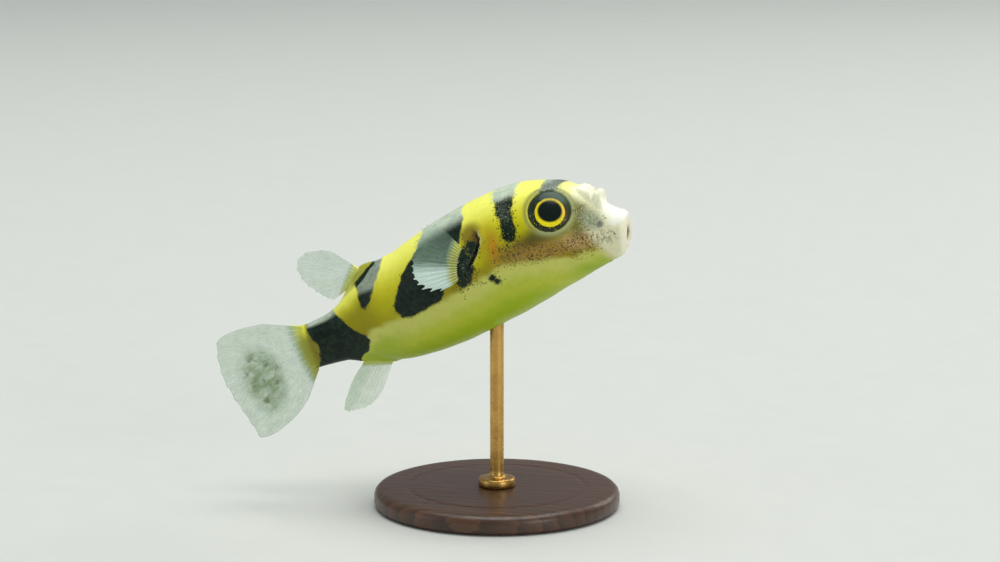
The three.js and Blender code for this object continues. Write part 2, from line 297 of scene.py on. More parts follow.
def newGroup(name, inputs, outputs):
    group = bpy.data.node_groups.new(name, "ShaderNodeTree")
    for label, kind, value in inputs:
        socket = group.interface.new_socket(name=label, in_out="INPUT", socket_type=kind)
        if value is not None:
            socket.default_value = value
    for label, kind in outputs:
        group.interface.new_socket(name=label, in_out="OUTPUT", socket_type=kind)
    return group, group.nodes.new("NodeGroupInput"), group.nodes.new("NodeGroupOutput")


# Places a group with a value for each of its inputs, in their order, and gives its one output.
def useGroup(tree, group, *values):
    made = addNode(tree, "ShaderNodeGroup", node_tree=group)
    for socket, value in zip(made.inputs, values):
        feed(tree, socket, value)
    return made.outputs[0]


# Pigment dots: a share of the cells of a Voronoi pattern, chosen by their random colour, each
# holding one soft-edged dot. Amount is the share, and may change over the surface.
def makeDotGroup():
    group, start, end = newGroup(
        "pigmentDots",
        [("Coordinates", "NodeSocketVector", None), ("Scale", "NodeSocketFloat", 3.0),
         ("Amount", "NodeSocketFloat", 0.5), ("Size", "NodeSocketFloat", 0.3)],
        [("Mask", "NodeSocketFloat")])
    cells = addNode(group, "ShaderNodeTexVoronoi", feature="F1")
    group.links.new(start.outputs["Coordinates"], cells.inputs["Vector"])
    group.links.new(start.outputs["Scale"], cells.inputs["Scale"])
    parts = addNode(group, "ShaderNodeSeparateColor")
    group.links.new(cells.outputs["Color"], parts.inputs[0])
    chosen = calc(group, "LESS_THAN", parts.outputs[0], start.outputs["Amount"])
    size = times(group, start.outputs["Size"], times(group, parts.outputs[1], 0.8, 0.55))
    inner = times(group, size, 0.6)
    dot = window(group, cells.outputs["Distance"], inner, size, 1.0, 0.0)
    group.links.new(times(group, dot, chosen), end.inputs["Mask"])
    return group


# Wet skin relief: tiny prickles on a Voronoi pattern plus a soft noise, as one height.
def makeReliefGroup():
    group, start, end = newGroup(
        "skinRelief",
        [("Coordinates", "NodeSocketVector", None), ("Prickle Scale", "NodeSocketFloat", 3.0),
         ("Prickles", "NodeSocketFloat", 0.5), ("Pores", "NodeSocketFloat", 0.3)],
        [("Height", "NodeSocketFloat")])
    cells = addNode(group, "ShaderNodeTexVoronoi", feature="F1")
    group.links.new(start.outputs["Coordinates"], cells.inputs["Vector"])
    group.links.new(start.outputs["Prickle Scale"], cells.inputs["Scale"])
    bump = window(group, cells.outputs["Distance"], 0.0, 0.42, 1.0, 0.0)
    fine = noise(group, start.outputs["Coordinates"], 9.0, 3.0, 0.6)
    broad = noise(group, start.outputs["Coordinates"], 1.6, 3.0, 0.55)
    a = times(group, bump, start.outputs["Prickles"])
    b = times(group, fine, start.outputs["Pores"], a)
    c = times(group, broad, 0.5, b)
    group.links.new(c, end.inputs["Height"])
    return group


dotGroup = makeDotGroup()
reliefGroup = makeReliefGroup()


# Mask of pigment dots: scale is dots to the millimetre, amount the share of them, size their radius
# against the space between them.
def dots(tree, place, scale, amount, size):
    return useGroup(tree, dotGroup, place, scale, amount, size)


print("node tools ready")


camera = {
    "azimuth": 15.0,
    "elevation": 10.0,
    "distance": 0.352,
    "lens": 100.0,
    "aim": (0.0017977, -0.0051758, 0.0306473),
}
azimuth, elevation = math.radians(camera["azimuth"]), math.radians(camera["elevation"])
away = np.array([math.sin(azimuth) * math.cos(elevation), -math.cos(azimuth) * math.cos(elevation),
                 math.sin(elevation)])
cameraData = bpy.data.cameras.new("camera")
cameraData.lens = camera["lens"]
cameraData.sensor_width = 36.0
cameraData.clip_start = 0.01
cameraData.clip_end = 50.0
cameraObject = bpy.data.objects.new("camera", cameraData)
cameraObject.location = (np.array(camera["aim"]) + away * camera["distance"]).tolist()
cameraObject.rotation_euler = (math.pi / 2 - elevation, 0.0, azimuth)
bpy.context.collection.objects.link(cameraObject)
bpy.context.scene.camera = cameraObject
bpy.context.scene.view_settings.view_transform = "Standard"

# Sections of the body from the lips to the root of the tail fin. Columns: back and height of the
# top, back and height of the belly, half width, share at which it is widest, roundness above, below.
bodySections = [
    [-0.17, 3.46, 1.72, -2.28, 2.55, 0.50, 2.1, 2.1],
    [0.90, 4.45, 3.00, -2.45, 2.95, 0.48, 2.1, 2.1],
    [2.80, 6.60, 5.00, -2.80, 4.00, 0.46, 2.2, 2.1],
    [5.00, 8.74, 7.20, -3.25, 5.10, 0.46, 2.4, 2.1],
    [8.20, 10.20, 10.00, -3.80, 5.95, 0.45, 2.5, 2.1],
    [12.00, 11.00, 13.20, -4.50, 6.50, 0.42, 2.4, 2.15],
    [17.50, 10.80, 18.00, -5.30, 6.85, 0.40, 2.2, 2.2],
    [24.00, 9.70, 24.00, -6.05, 6.70, 0.42, 2.1, 2.2],
    [29.50, 8.15, 29.50, -6.20, 5.80, 0.44, 2.0, 2.2],
    [34.00, 6.70, 34.00, -5.65, 4.30, 0.46, 2.0, 2.1],
    [37.70, 4.80, 37.70, -4.15, 3.00, 0.48, 2.0, 2.0],
    [41.00, 3.35, 41.00, -3.45, 2.20, 0.50, 2.0, 2.0],
    [44.00, 2.90, 44.00, -3.10, 1.70, 0.50, 2.0, 2.0],
    [45.30, 2.90, 45.30, -3.10, 1.20, 0.50, 2.0, 2.0],
]
skin = {
    "columns": 260,
    "lipRows": 52,
    "headRows": 176,
    "trunkRows": 136,
    "endRows": 10,
    "headSections": 6.2,  # sections up to here share the close head rows
    # Where columns crowd together: degrees from the top of the back, width and extra density.
    "crowding": [[58, 26, 0.9], [302, 26, 0.9], [0, 18, 0.5], [360, 18, 0.5]],
    # Size against the first section and distance ahead of it, from inside the mouth outwards.
    "lipRoll": [[0.26, -3.0], [0.32, -1.6], [0.325, 0.0], [0.345, 0.8], [0.40, 1.02], [0.52, 1.1],
                [0.69, 1.04], [0.84, 0.82], [0.95, 0.43], [1.0, 0.0], [1.12, -1.15]],
    "lipMiddle": (0.775, 0.0, 0.59),
    "lipHalfHeight": 2.9,
    "lipLean": 0.08,
    "lowerLipLean": 0.13,
    "lowerLipBack": 0.16,
    "lipAhead": (-0.953, 0.0, -0.304),
    # The blunt wedge inside the root of the tail fin: its length, and how thin and low it ends.
    "endLength": 1.1,
    "endWidth": 0.05,
    "endDrop": 0.08,
}
eyes = {
    "point": (7.2, 5.04, 6.5),
    "axis": (-0.313, 0.86, 0.403),
    "radius": 3.0,
    "depth": 1.35,
    "sink": 0.85,
    "rimRadius": 2.76,
}


# Closed body section: a point is the middle plus the reach towards the top or the belly times
# |sin|^(2/n), and the half width times |cos|^(2/n), n being the roundness.
def sectionPoints(rows, angle):
    topX, topZ, lowX, lowZ, half, share, top, bottom = [rows[:, k, None] for k in range(8)]
    c, s = np.cos(angle)[None], np.sin(angle)[None]
    midX, midZ = lowX + (topX - lowX) * share, lowZ + (topZ - lowZ) * share
    power = np.where(s >= 0, top, bottom)
    across = np.sign(c) * np.abs(c) ** (2 / power)
    rise = np.abs(s) ** (2 / power)
    back = midX + np.where(s >= 0, topX - midX, lowX - midX) * rise
    up = midZ + np.where(s >= 0, topZ - midZ, lowZ - midZ) * rise
    return np.stack([back, half * across, up], -1)


# Column angles packed closer round the eyes and along the back: the running total of a density.
def columnAngles(count):
    a = np.linspace(0, 360, 3601)
    density = np.ones_like(a)
    for middle, width, extra in skin["crowding"]:
        density += extra * bell(a - middle, width)
    total = np.concatenate([[0], np.cumsum((density[1:] + density[:-1]) / 2)])
    return np.radians(np.interp(np.arange(count) / count * total[-1], total, a) + 90)


# Point on the skin where an eye's axis leaves the head, and the unit vector along that axis.
def eyeAxis(handed):
    axis = np.array(eyes["axis"]) * (1, handed, 1)
    return np.array(eyes["point"]) * (1, handed, 1), axis / np.linalg.norm(axis)


# Normals of a closed grid: the cross product of its differences along columns and along rows.
def gridNormals(points):
    alongRows = np.gradient(points, axis=0)
    alongColumns = np.roll(points, -1, 1) - np.roll(points, 1, 1)
    normal = np.cross(alongColumns, alongRows)
    return normal / np.maximum(np.linalg.norm(normal, axis=-1, keepdims=True), 1e-9)


angle = columnAngles(skin["columns"])
firstRing = sectionPoints(throughRows(bodySections, np.zeros(1)), angle)[0]
lipMiddle = np.array(skin["lipMiddle"])
lipLast = len(skin["lipRoll"]) - 2
lipStep = np.linspace(0, lipLast, skin["lipRows"], endpoint=False)
roll = throughRows(skin["lipRoll"], lipStep)
lipRise = (firstRing[:, 2] - lipMiddle[2])[None] / skin["lipHalfHeight"]
lean = np.where(lipRise > 0, skin["lipLean"], skin["lowerLipLean"])
lipSize = roll[:, :1] + lean * bell(roll[:, :1] - 0.75, 0.22) * lipRise
lipOut = roll[:, 1:] * (1 + skin["lowerLipBack"] * np.minimum(lipRise, 0))
lipPart = lipMiddle + (firstRing - lipMiddle)[None] * lipSize[..., None]
lipPart = lipPart + np.array(skin["lipAhead"]) * lipOut[..., None]
headStep = np.linspace(0, skin["headSections"], skin["headRows"], endpoint=False)
trunkStep = np.linspace(skin["headSections"], len(bodySections) - 1, skin["trunkRows"])
bodyPart = sectionPoints(throughRows(bodySections, np.concatenate([headStep, trunkStep])), angle)
endShare = np.linspace(0, 1, skin["endRows"] + 1)[1:, None]
endPart = np.repeat(bodyPart[-1:], skin["endRows"], 0)
endDrop = skin["endDrop"] * endShare**2
endPart[..., 0] += skin["endLength"] * endShare
endPart[..., 1] *= skin["endWidth"] + (1 - skin["endWidth"]) * (1 - endShare) ** 1.15
endPart[..., 2] = endPart[..., 2] * (1 - endDrop) - endDrop
shape = np.concatenate([lipPart, bodyPart, endPart])
normal = gridNormals(shape)
outFromMiddle = (shape - shape.mean(1, keepdims=True)) * normal
if outFromMiddle[skin["lipRows"]:-skin["endRows"]].sum() < 0:
    normal = -normal
back, side, up = shape.copy().transpose(2, 0, 1)
hand = np.where(side >= 0, 1.0, -1.0)
flank = np.abs(side)
upward = normal[..., 2]
rowNumber = np.broadcast_to(np.arange(len(shape))[:, None], back.shape)
onBody = rowNumber >= skin["lipRows"]
print("body surface", shape.shape)


# Oval mask on the flank: 1 inside, 0 outside, eased over the soft part of its radius.
def oval(centre, size, lean, soft):
    return 1 - ease(ovalShare(back, up, centre, size, lean), 1 - soft, 1 + soft)


# Distance inside an oval on the flank, in millimetres, roughly: (1 - share) times its half width.
def ovalDepth(centre, size, lean=0.0):
    return (1 - ovalShare(back, up, centre, size, lean)) * min(size)


# Slow waves that keep straight edges from looking ruled: a sum of four sines.
def waver(a, b, seed):
    rng = np.random.default_rng(seed)
    total = 0
    for k in range(4):
        f, g, p = rng.uniform(0.6, 2.6), rng.uniform(0.6, 2.6), rng.uniform(0, 6.28)
        total = total + np.sin(a * f + b * g * (1 if k % 2 else -1) + p) / (k + 1.5)
    return total


relief = {
    "lipGroove": 0.07,
    "lipBeads": 0.08,
    "lipBeadCount": 32,
    "lipPleats": 0.02,
    "lipPleatCount": 19,
    "mouthCorner": 0.09,
    "snoutFold": 0.06,
    "chinFlaps": 0.1,
    "noseTop": [[1.35, 5.0], [1.62, 6.0], [1.75, 6.35], [1.9, 6.56], [2.15, 6.73], [2.35, 6.57],
                [2.5, 6.4], [2.72, 7.05], [3.14, 7.45], [3.64, 7.8], [4.15, 7.92], [4.6, 8.3]],
    "noseMiddle": (2.98, 1.32),
    "noseSize": (1.46, 0.86),
    "noseLean": 0.38,
    # Place behind the snout and out from the middle, and the pit's two half widths.
    "nostrils": [(1.95, 1.42, 0.17, 0.16), (2.75, 1.4, 0.22, 0.2)],
    "nostrilDepths": (0.26, 0.32),
    "brow": 0.2,
    "gillBack": [[1.6, 19.9], [2.9, 19.1], [4.4, 17.6], [5.4, 16.95], [6.2, 16.7], [7.0, 16.9], [8.0, 17.5]],
    "gillDepth": 0.42,
    "gillFlap": 0.22,
    "padMiddle": (19.75, 3.35),
    "padSize": (1.5, 2.75),
    "padLean": 24,
    "padRise": 0.42,
    "dorsalHump": [[30.4, 0.0], [31.4, 0.14], [32.3, 0.3], [33.0, 0.5], [33.8, 0.95], [34.5, 1.28],
                   [35.2, 1.5], [36.2, 1.35], [37.4, 0.85], [38.6, 0.3], [39.6, 0.0]],
    "analHump": [[34.0, 0.0], [35.0, 0.35], [36.6, 0.72], [38.6, 0.7], [39.8, 0.3], [40.8, 0.0]],
    "rimRise": 0.1,
    "rimWidth": 0.15,
}

# Nasal organs: inside an oval the skin climbs to a sloping top line and leans forward, with a low
# front lobe, a notch behind it, a broad rear lobe that runs into the forehead, and a pit in each.
noseTop = readLine(relief["noseTop"], back)
nu = (back - relief["noseMiddle"][0]) / relief["noseSize"][0]
nv = (flank - relief["noseMiddle"][1]) / relief["noseSize"][1]
noseSpread = (np.abs(nu) ** 3 + np.abs(nv) ** 3) ** (1 / 3)
noseMask = (1 - ease(noseSpread, 0.74, 1.1)) * (up > 2.5)
lumps = 0.06 * waver(back * 5.5, flank * 5.5, 21) + 0.04 * waver(back * 11, flank * 11, 5)
lift = noseMask * np.clip(noseTop - up - 0.6 * np.clip(nv, -1, 1) ** 2 + lumps, 0, None)
frontPit, rearPit = [bell(back - x, long) * bell(flank - y, wide) for x, y, long, wide in relief["nostrils"]]
frontDepth, rearDepth = relief["nostrilDepths"]
lift = lift - noseMask * (frontDepth * frontPit + rearDepth * rearPit)
brow = relief["brow"] * bell(back - 3.6, 0.9) * bell(flank, 2.2) * (up > 4)
shape[..., 2] += lift + brow
shape[..., 0] -= relief["noseLean"] * lift
shape[..., 1] += hand * 0.05 * lift

# Gill opening: a low step across a curved line on the flank, with a narrow hollow behind the flap.
gillLine = readLine(relief["gillBack"], up) + 0.05 * waver(up * 3.2, flank, 2)
gillWindow = ease(up, 2.2, 3.4) * (1 - ease(up, 6.4, 7.6))
behind = back - gillLine
gillHollow = gillWindow * bell(behind - 0.26, 0.24) * (behind > 0)
gillFlap = gillWindow * bell(behind + 0.05, 0.6) * (behind <= 0)
gillStep = relief["gillFlap"] * gillFlap - relief["gillDepth"] * gillHollow

# Fleshy pad under each pectoral fin, and the humps under the dorsal and anal fins.
padMask = ease(ovalDepth(relief["padMiddle"], relief["padSize"], relief["padLean"]), -0.5, 0.8)
outward = gillStep + relief["padRise"] * padMask * (1 - 0.8 * gillHollow)
humpTop = readLine(relief["dorsalHump"], back) * np.exp(-(flank / 0.95) ** 2.4) * (up > 1)
humpLow = readLine(relief["analHump"], back) * np.exp(-(flank / 0.8) ** 2.4) * (up < -1)
shape[..., 2] += humpTop - humpLow

# Lips: a shallow groove behind them, radial pleats, and a row of beads round the opening.
lipU = np.interp(rowNumber, np.arange(skin["lipRows"]), lipStep)
lipU = np.where(onBody, 99.0, lipU)
turnAround = np.broadcast_to(angle[None], back.shape)
beads = bell(lipU - 3.75, 0.5) * (0.5 + 0.5 * np.cos(turnAround * relief["lipBeadCount"])) ** 2
pleatTurn = turnAround * relief["lipPleatCount"] + 0.8 * np.sin(turnAround * 3)
pleats = bell(lipU - 5.6, 1.3) * (0.5 + 0.5 * np.cos(pleatTurn))
groove = bell(back + 0.33 * up - 2.15, 0.32) * onBody * (1 - ease(up, 0.6, 1.8)) * 0.6
corner = bell(np.hypot(back - 1.3, up - 0.75) - 1.0, 0.14) * ease(back, 1.5, 1.9) * onBody * (up > -0.5)
snoutFold = bell(back - 0.55 * up - 0.6, 0.14) * bell(up - 2.0, 0.7) * onBody
outward = outward + relief["lipBeads"] * beads - relief["lipPleats"] * pleats - relief["lipGroove"] * groove
outward = outward - relief["mouthCorner"] * corner - relief["snoutFold"] * snoutFold

# Chin flaps: small tags in a row across the chin.
tags = np.clip(np.cos(side * 3.1), 0, 1) ** 3 * (flank < 2.4)
chin = bell(back - 3.2 - 0.12 * flank**2, 0.2) * (up < -1.5) * tags
outward = outward + relief["chinFlaps"] * chin + 0.025 * waver(back * 0.9, turnAround * 3, 3) * onBody
shape = shape + normal * outward[..., None]

# Eye sockets: near the eye's axis the skin follows the ball from just below its surface, stands
# up in a thin rim at its edge, and eases back to the head outside.
eyeGap = np.full(back.shape, 50.0)
rimRadius = eyes["rimRadius"]
for handed in (1, -1):
    point, axis = eyeAxis(handed)
    along = (shape - point) @ axis
    r = np.linalg.norm(shape - point - along[..., None] * axis, axis=-1)
    near = (r < 4.8) & (np.abs(along) < 3.2) & (hand == handed)
    ball = -eyes["sink"] + eyes["depth"] * np.sqrt(np.clip(1 - (r / eyes["radius"]) ** 2, 0, 1))
    edge = -eyes["sink"] + eyes["depth"] * math.sqrt(1 - (rimRadius / eyes["radius"]) ** 2)
    inside = ball - 0.1 - 0.3 * (1 - ease(r, 1.5, rimRadius))
    rim = edge + 0.05 + relief["rimRise"] * bell(r - rimRadius - 0.17, relief["rimWidth"])
    rim = rim - 0.05 * bell(r - rimRadius - 0.5, 0.16)
    target = np.where(r < rimRadius - 0.03, np.minimum(inside, edge - 0.1), rim)
    keep = ease(r, rimRadius + 0.25, rimRadius + 1.6)
    moved = (target * (1 - keep) + along * keep - along)[..., None] * axis
    shape = shape + np.where(near[..., None], moved, 0)
    eyeGap = np.where(near, r, eyeGap)
print("relief done")

# The dark bands, from the eyes to the tail. Each has a front and a rear edge, as distance behind the
# snout against height, and a lower edge, as height against distance behind the snout.
bands = [
    {"front": [[8.2, 5.9], [9.0, 5.6], [9.8, 4.8]], "rear": [[8.2, 8.1], [9.0, 8.0], [10.2, 7.6]],
     "low": [[0, 8.1], [20, 8.1]]},
    {"front": [[3.6, 12.5], [5.0, 12.1], [6.0, 11.8], [7.0, 11.9], [8.4, 11.75], [9.6, 11.3], [11.0, 10.8]],
     "rear": [[3.6, 13.2], [5.2, 13.7], [6.2, 13.8], [7.3, 13.55], [8.4, 13.9], [9.7, 13.9], [11.0, 14.5]],
     "low": [[0, 4.5], [12.6, 4.5], [13.8, 4.2]]},
    {"front": [[0.3, 23.9], [1.0, 23.6], [2.0, 23.0], [3.0, 22.2], [4.0, 21.3], [5.0, 20.6], [6.0, 19.9],
               [7.0, 19.4], [8.0, 18.9], [9.0, 18.6], [10.6, 18.8]],
     "rear": [[-0.6, 30.2], [0.0, 30.8], [0.9, 31.3], [1.6, 31.2], [2.5, 30.7], [3.4, 30.0], [4.2, 29.4],
              [5.1, 28.7], [5.9, 27.7], [6.7, 26.7], [7.7, 25.7], [8.9, 25.1]],
     "low": [[22, 0.75], [24.2, 0.4], [25.3, 0.2], [27.4, -0.2], [29.5, -0.5], [30.7, -0.1], [31.5, 0.6]]},
    {"front": [[1.9, 35.6], [2.6, 35.2], [3.2, 34.4], [4.3, 33.7], [5.3, 33.0], [6.3, 32.3], [7.6, 31.8]],
     "rear": [[1.9, 35.9], [2.8, 36.2], [3.7, 36.3], [4.6, 36.1], [5.3, 36.4], [5.7, 36.6], [6.1, 36.0],
              [6.75, 34.8], [7.6, 33.4], [8.2, 32.4]],
     "low": [[30, 2.1], [40, 2.1]]},
    {"front": [[-5.6, 40.6], [-3.7, 39.0], [-3.1, 37.7], [-2.5, 36.9], [-1.6, 36.5], [-0.9, 36.8],
               [-0.1, 37.9], [0.9, 38.8], [2.2, 39.6], [2.9, 40.2], [4.0, 40.4]],
     "rear": [[-3.4, 45.1], [-2.9, 44.8], [-2.0, 44.2], [-0.9, 43.8], [0.0, 43.8], [0.8, 44.2], [1.5, 44.5],
              [3.2, 44.5]],
     "low": [[0, -9.0], [60, -9.0]]},
]
bandCorner = 0.25
bandEdge = np.full(back.shape, -9.0)
tall = up + humpTop - humpLow

# Depth inside a band: the least of the distances to its three edges, by a log of summed powers of e
# that rounds the corners.
for band in bands:
    gaps = [back - readLine(band["front"], tall), readLine(band["rear"], tall) - back,
            tall - readLine(band["low"], back)]
    soft = -bandCorner * np.log(sum(np.exp(-gap / bandCorner) for gap in gaps))
    bandEdge = np.maximum(bandEdge, soft)
bandEdge = bandEdge + 0.07 * waver(back * 1.6, up * 1.6, 8)

# Dark pad behind the gill, and three small spots: two below the cheek and one beside the mouth.
padInk = np.maximum(ovalDepth((19.75, 3.45), (1.38, 2.72), 25), ovalDepth((18.1, 5.3), (1.05, 0.95)))
padInk = np.minimum(padInk, behind * 1.2 + 0.25 + 4 * (1 - gillWindow))
spotEdge = 0.06 + np.maximum.reduce([
    ovalDepth((16.68, 0.92), (0.46, 0.38)),
    ovalDepth((16.34, 0.36), (0.42, 0.36)),
    ovalDepth((2.19, 2.71), (0.3, 0.34)),
])
darkEdge = np.maximum.reduce([bandEdge, padInk, spotEdge])

# Painted sheen: grey-white highlight painted over the dark bands where they face up along the back
# and the tail, over band one, the top of band two and a strip of band four, for light from above.
# The same mask also lays a row of pale bars near the pad and lighter grey patches.
sheenAndPaleMarks = ease(upward, 0.5, 0.95) * ease(up, 2.0, 3.2)
onBandOne = 1 - ease(back, 9.6, 10.4)
onBandTwo = ease(back, 9.6, 10.4) * (1 - ease(back, 15.2, 16.0))
onBandFour = ease(back, 30.6, 31.4) * (1 - ease(back, 36.8, 37.6))
streakInner = readLine([[5.27, 36.35], [5.93, 35.14], [6.91, 33.96], [7.26, 33.19]], tall)
onSheenStrip = ease(streakInner - back, -0.1, 0.3) * ease(tall, 3.5, 4.9)
for onBand, value in ((onBandTwo, ease(up, 8.9, 10.5)), (onBandOne, 0.44 + 0.2 * ease(up, 9.4, 10.1)),
                      (onBandFour, 0.56 * onSheenStrip)):
    sheenAndPaleMarks = sheenAndPaleMarks * (1 - onBand) + onBand * value
tailSheen = 0.74 * ease(back, 37.8, 39) * ease(upward, 0.4, 0.8)
sheenAndPaleMarks = np.maximum(sheenAndPaleMarks * (1 - 0.22 * ease(back, 37, 39)), tailSheen)
sheenAndPaleMarks = sheenAndPaleMarks * (1 - 0.95 * ease(padInk, -0.3, 0.2))
rootLine = back - 19.95 - 0.3 * (up - 3.4)
rootBars = bell(rootLine, 0.2) * (0.5 + 0.5 * np.cos((up + 0.2 * back) * 13)) ** 2 * bell(up - 3.6, 1.6)
sheenAndPaleMarks = np.maximum.reduce([
    sheenAndPaleMarks,
    0.8 * rootBars,
    0.14 * oval((20.9, 7.2), (1.6, 1.5), 20, 0.5),  # behind the fin's upper root
    0.2 * oval((19.3, 3.4), (0.7, 2.3), 22, 0.7),  # along the pad
    0.26 * oval((12.8, 8.3), (1.0, 1.9), 0, 0.6),  # middle of the second band
])
onHump = ease(humpTop, 0.15, 0.5)

# How freely dots of pigment break up the edge of a dark mark: most on the head and the pad.
stipple = 0.06 + 0.94 * (1 - ease(back, 15.0, 17.0)) + 0.8 * ease(padInk, -1.2, -0.4) * (back > 16.9)
stipple = np.clip(stipple, 0, 1) * (1 - 0.8 * ease(spotEdge, -0.7, -0.2))

# Masks that the coats of colour share: depth below the line where the belly begins, the pale
# snout, the lips, the nasal organs and the lit part of the eye's rim.
bellyLine = readLine([[0, -0.3], [3, -0.1], [5, 0.0], [6.2, 0.1], [7.9, 0.6], [9.6, 1.1], [11.4, 1.65],
                      [12.6, 2.0], [14.3, 2.15], [16.1, 2.1], [18, 1.5], [21, 0.9], [24, 0.5], [27, 0.0],
                      [31, -0.2], [35, -0.2], [38, -1.5], [42, -2.6], [46, -3.2]], back)
below = bellyLine - up + 0.2 * waver(back, up, 5)
jaw = back - readLine([[-2.5, 2.6], [-0.65, 3.15], [0.9, 4.0], [3.0, 5.0]], up)
paleSnout = (1 - ease(back - 0.12 * up, 2.8, 4.4)) * (1 - ease(jaw, -0.7, 0.3))
lipTone = np.where(lipU < 50, ease(lipLast - lipU, 0.0, 2.0), 0)
noseTone = ease(1.22 - noseSpread + 0.12 * waver(back * 4, up * 4, 9), 0.0, 0.7) * ease(up, 3.2, 4.6)
rimPale = 0.1 + 0.9 * np.clip(ease(7.6 - back, 0.0, 1.5) + ease(5.2 - up, 0.0, 1.2), 0, 1)

# How thickly brown freckles lie.
freckles = np.maximum.reduce([
    0.85 * oval((9.0, 1.6), (6.6, 0.95), 7, 0.5),
    oval((4.9, 1.2), (1.9, 1.5), 12, 0.5),
    oval((5.7, 0.35), (1.1, 0.95), 0, 0.6),
    0.95 * oval((13.2, 3.2), (2.2, 1.1), 4, 0.6),
    0.4 * oval((2.9, 2.2), (0.9, 1.5), 10, 0.6),
    0.5 * oval((3.9, 5.3), (1.2, 0.5), -20, 0.7),
    0.4 * oval((15.2, 3.9), (0.9, 2.0), 0, 0.6),
    0.35 * oval((18.4, 1.4), (1.6, 0.8), 0, 0.6),
])
freckles = freckles * (1 - ease(bandEdge, -0.1, 0.3)) * (eyeGap > rimRadius + 0.15)

# Where the skin breaks up into pale and dark grains, and short grey lines of painted shade for
# creases beside the mouth.
grains = np.maximum.reduce([
    oval((3.6, 4.2), (1.3, 2.1), -20, 0.6),
    0.85 * oval((4.9, 1.9), (2.2, 1.3), 12, 0.5),
    0.45 * oval((9.2, 2.0), (4.6, 0.9), 7, 0.5),
    0.55 * oval((2.2, 1.2), (1.2, 1.3), 0, 0.6),
    0.3 * oval((4.6, 7.0), (1.3, 0.6), 45, 0.6),
])
grains = grains * (eyeGap > rimRadius + 0.3)
creaseShade = np.zeros(back.shape)
for line in ([[1.72, 1.32], [1.31, 1.42], [0.99, 1.23], [0.85, 0.75]],
             [[2.46, 0.66], [2.09, 0.99], [1.93, 0.66]],
             [[1.96, 0.32], [1.54, 0.77], [1.63, 0.18]],
             [[2.88, 1.53], [3.0, 0.9], [3.27, 0.17]],
             [[3.0, 4.2], [3.15, 3.6], [3.05, 3.1]]):
    for (x0, z0), (x1, z1) in zip(line[:-1], line[1:]):
        share = ((back - x0) * (x1 - x0) + (up - z0) * (z1 - z0)) / ((x1 - x0) ** 2 + (z1 - z0) ** 2)
        share = np.clip(share, 0, 1)
        gap = np.hypot(back - x0 - share * (x1 - x0), up - z0 - share * (z1 - z0))
        creaseShade = np.maximum(creaseShade, bell(gap, 0.09))

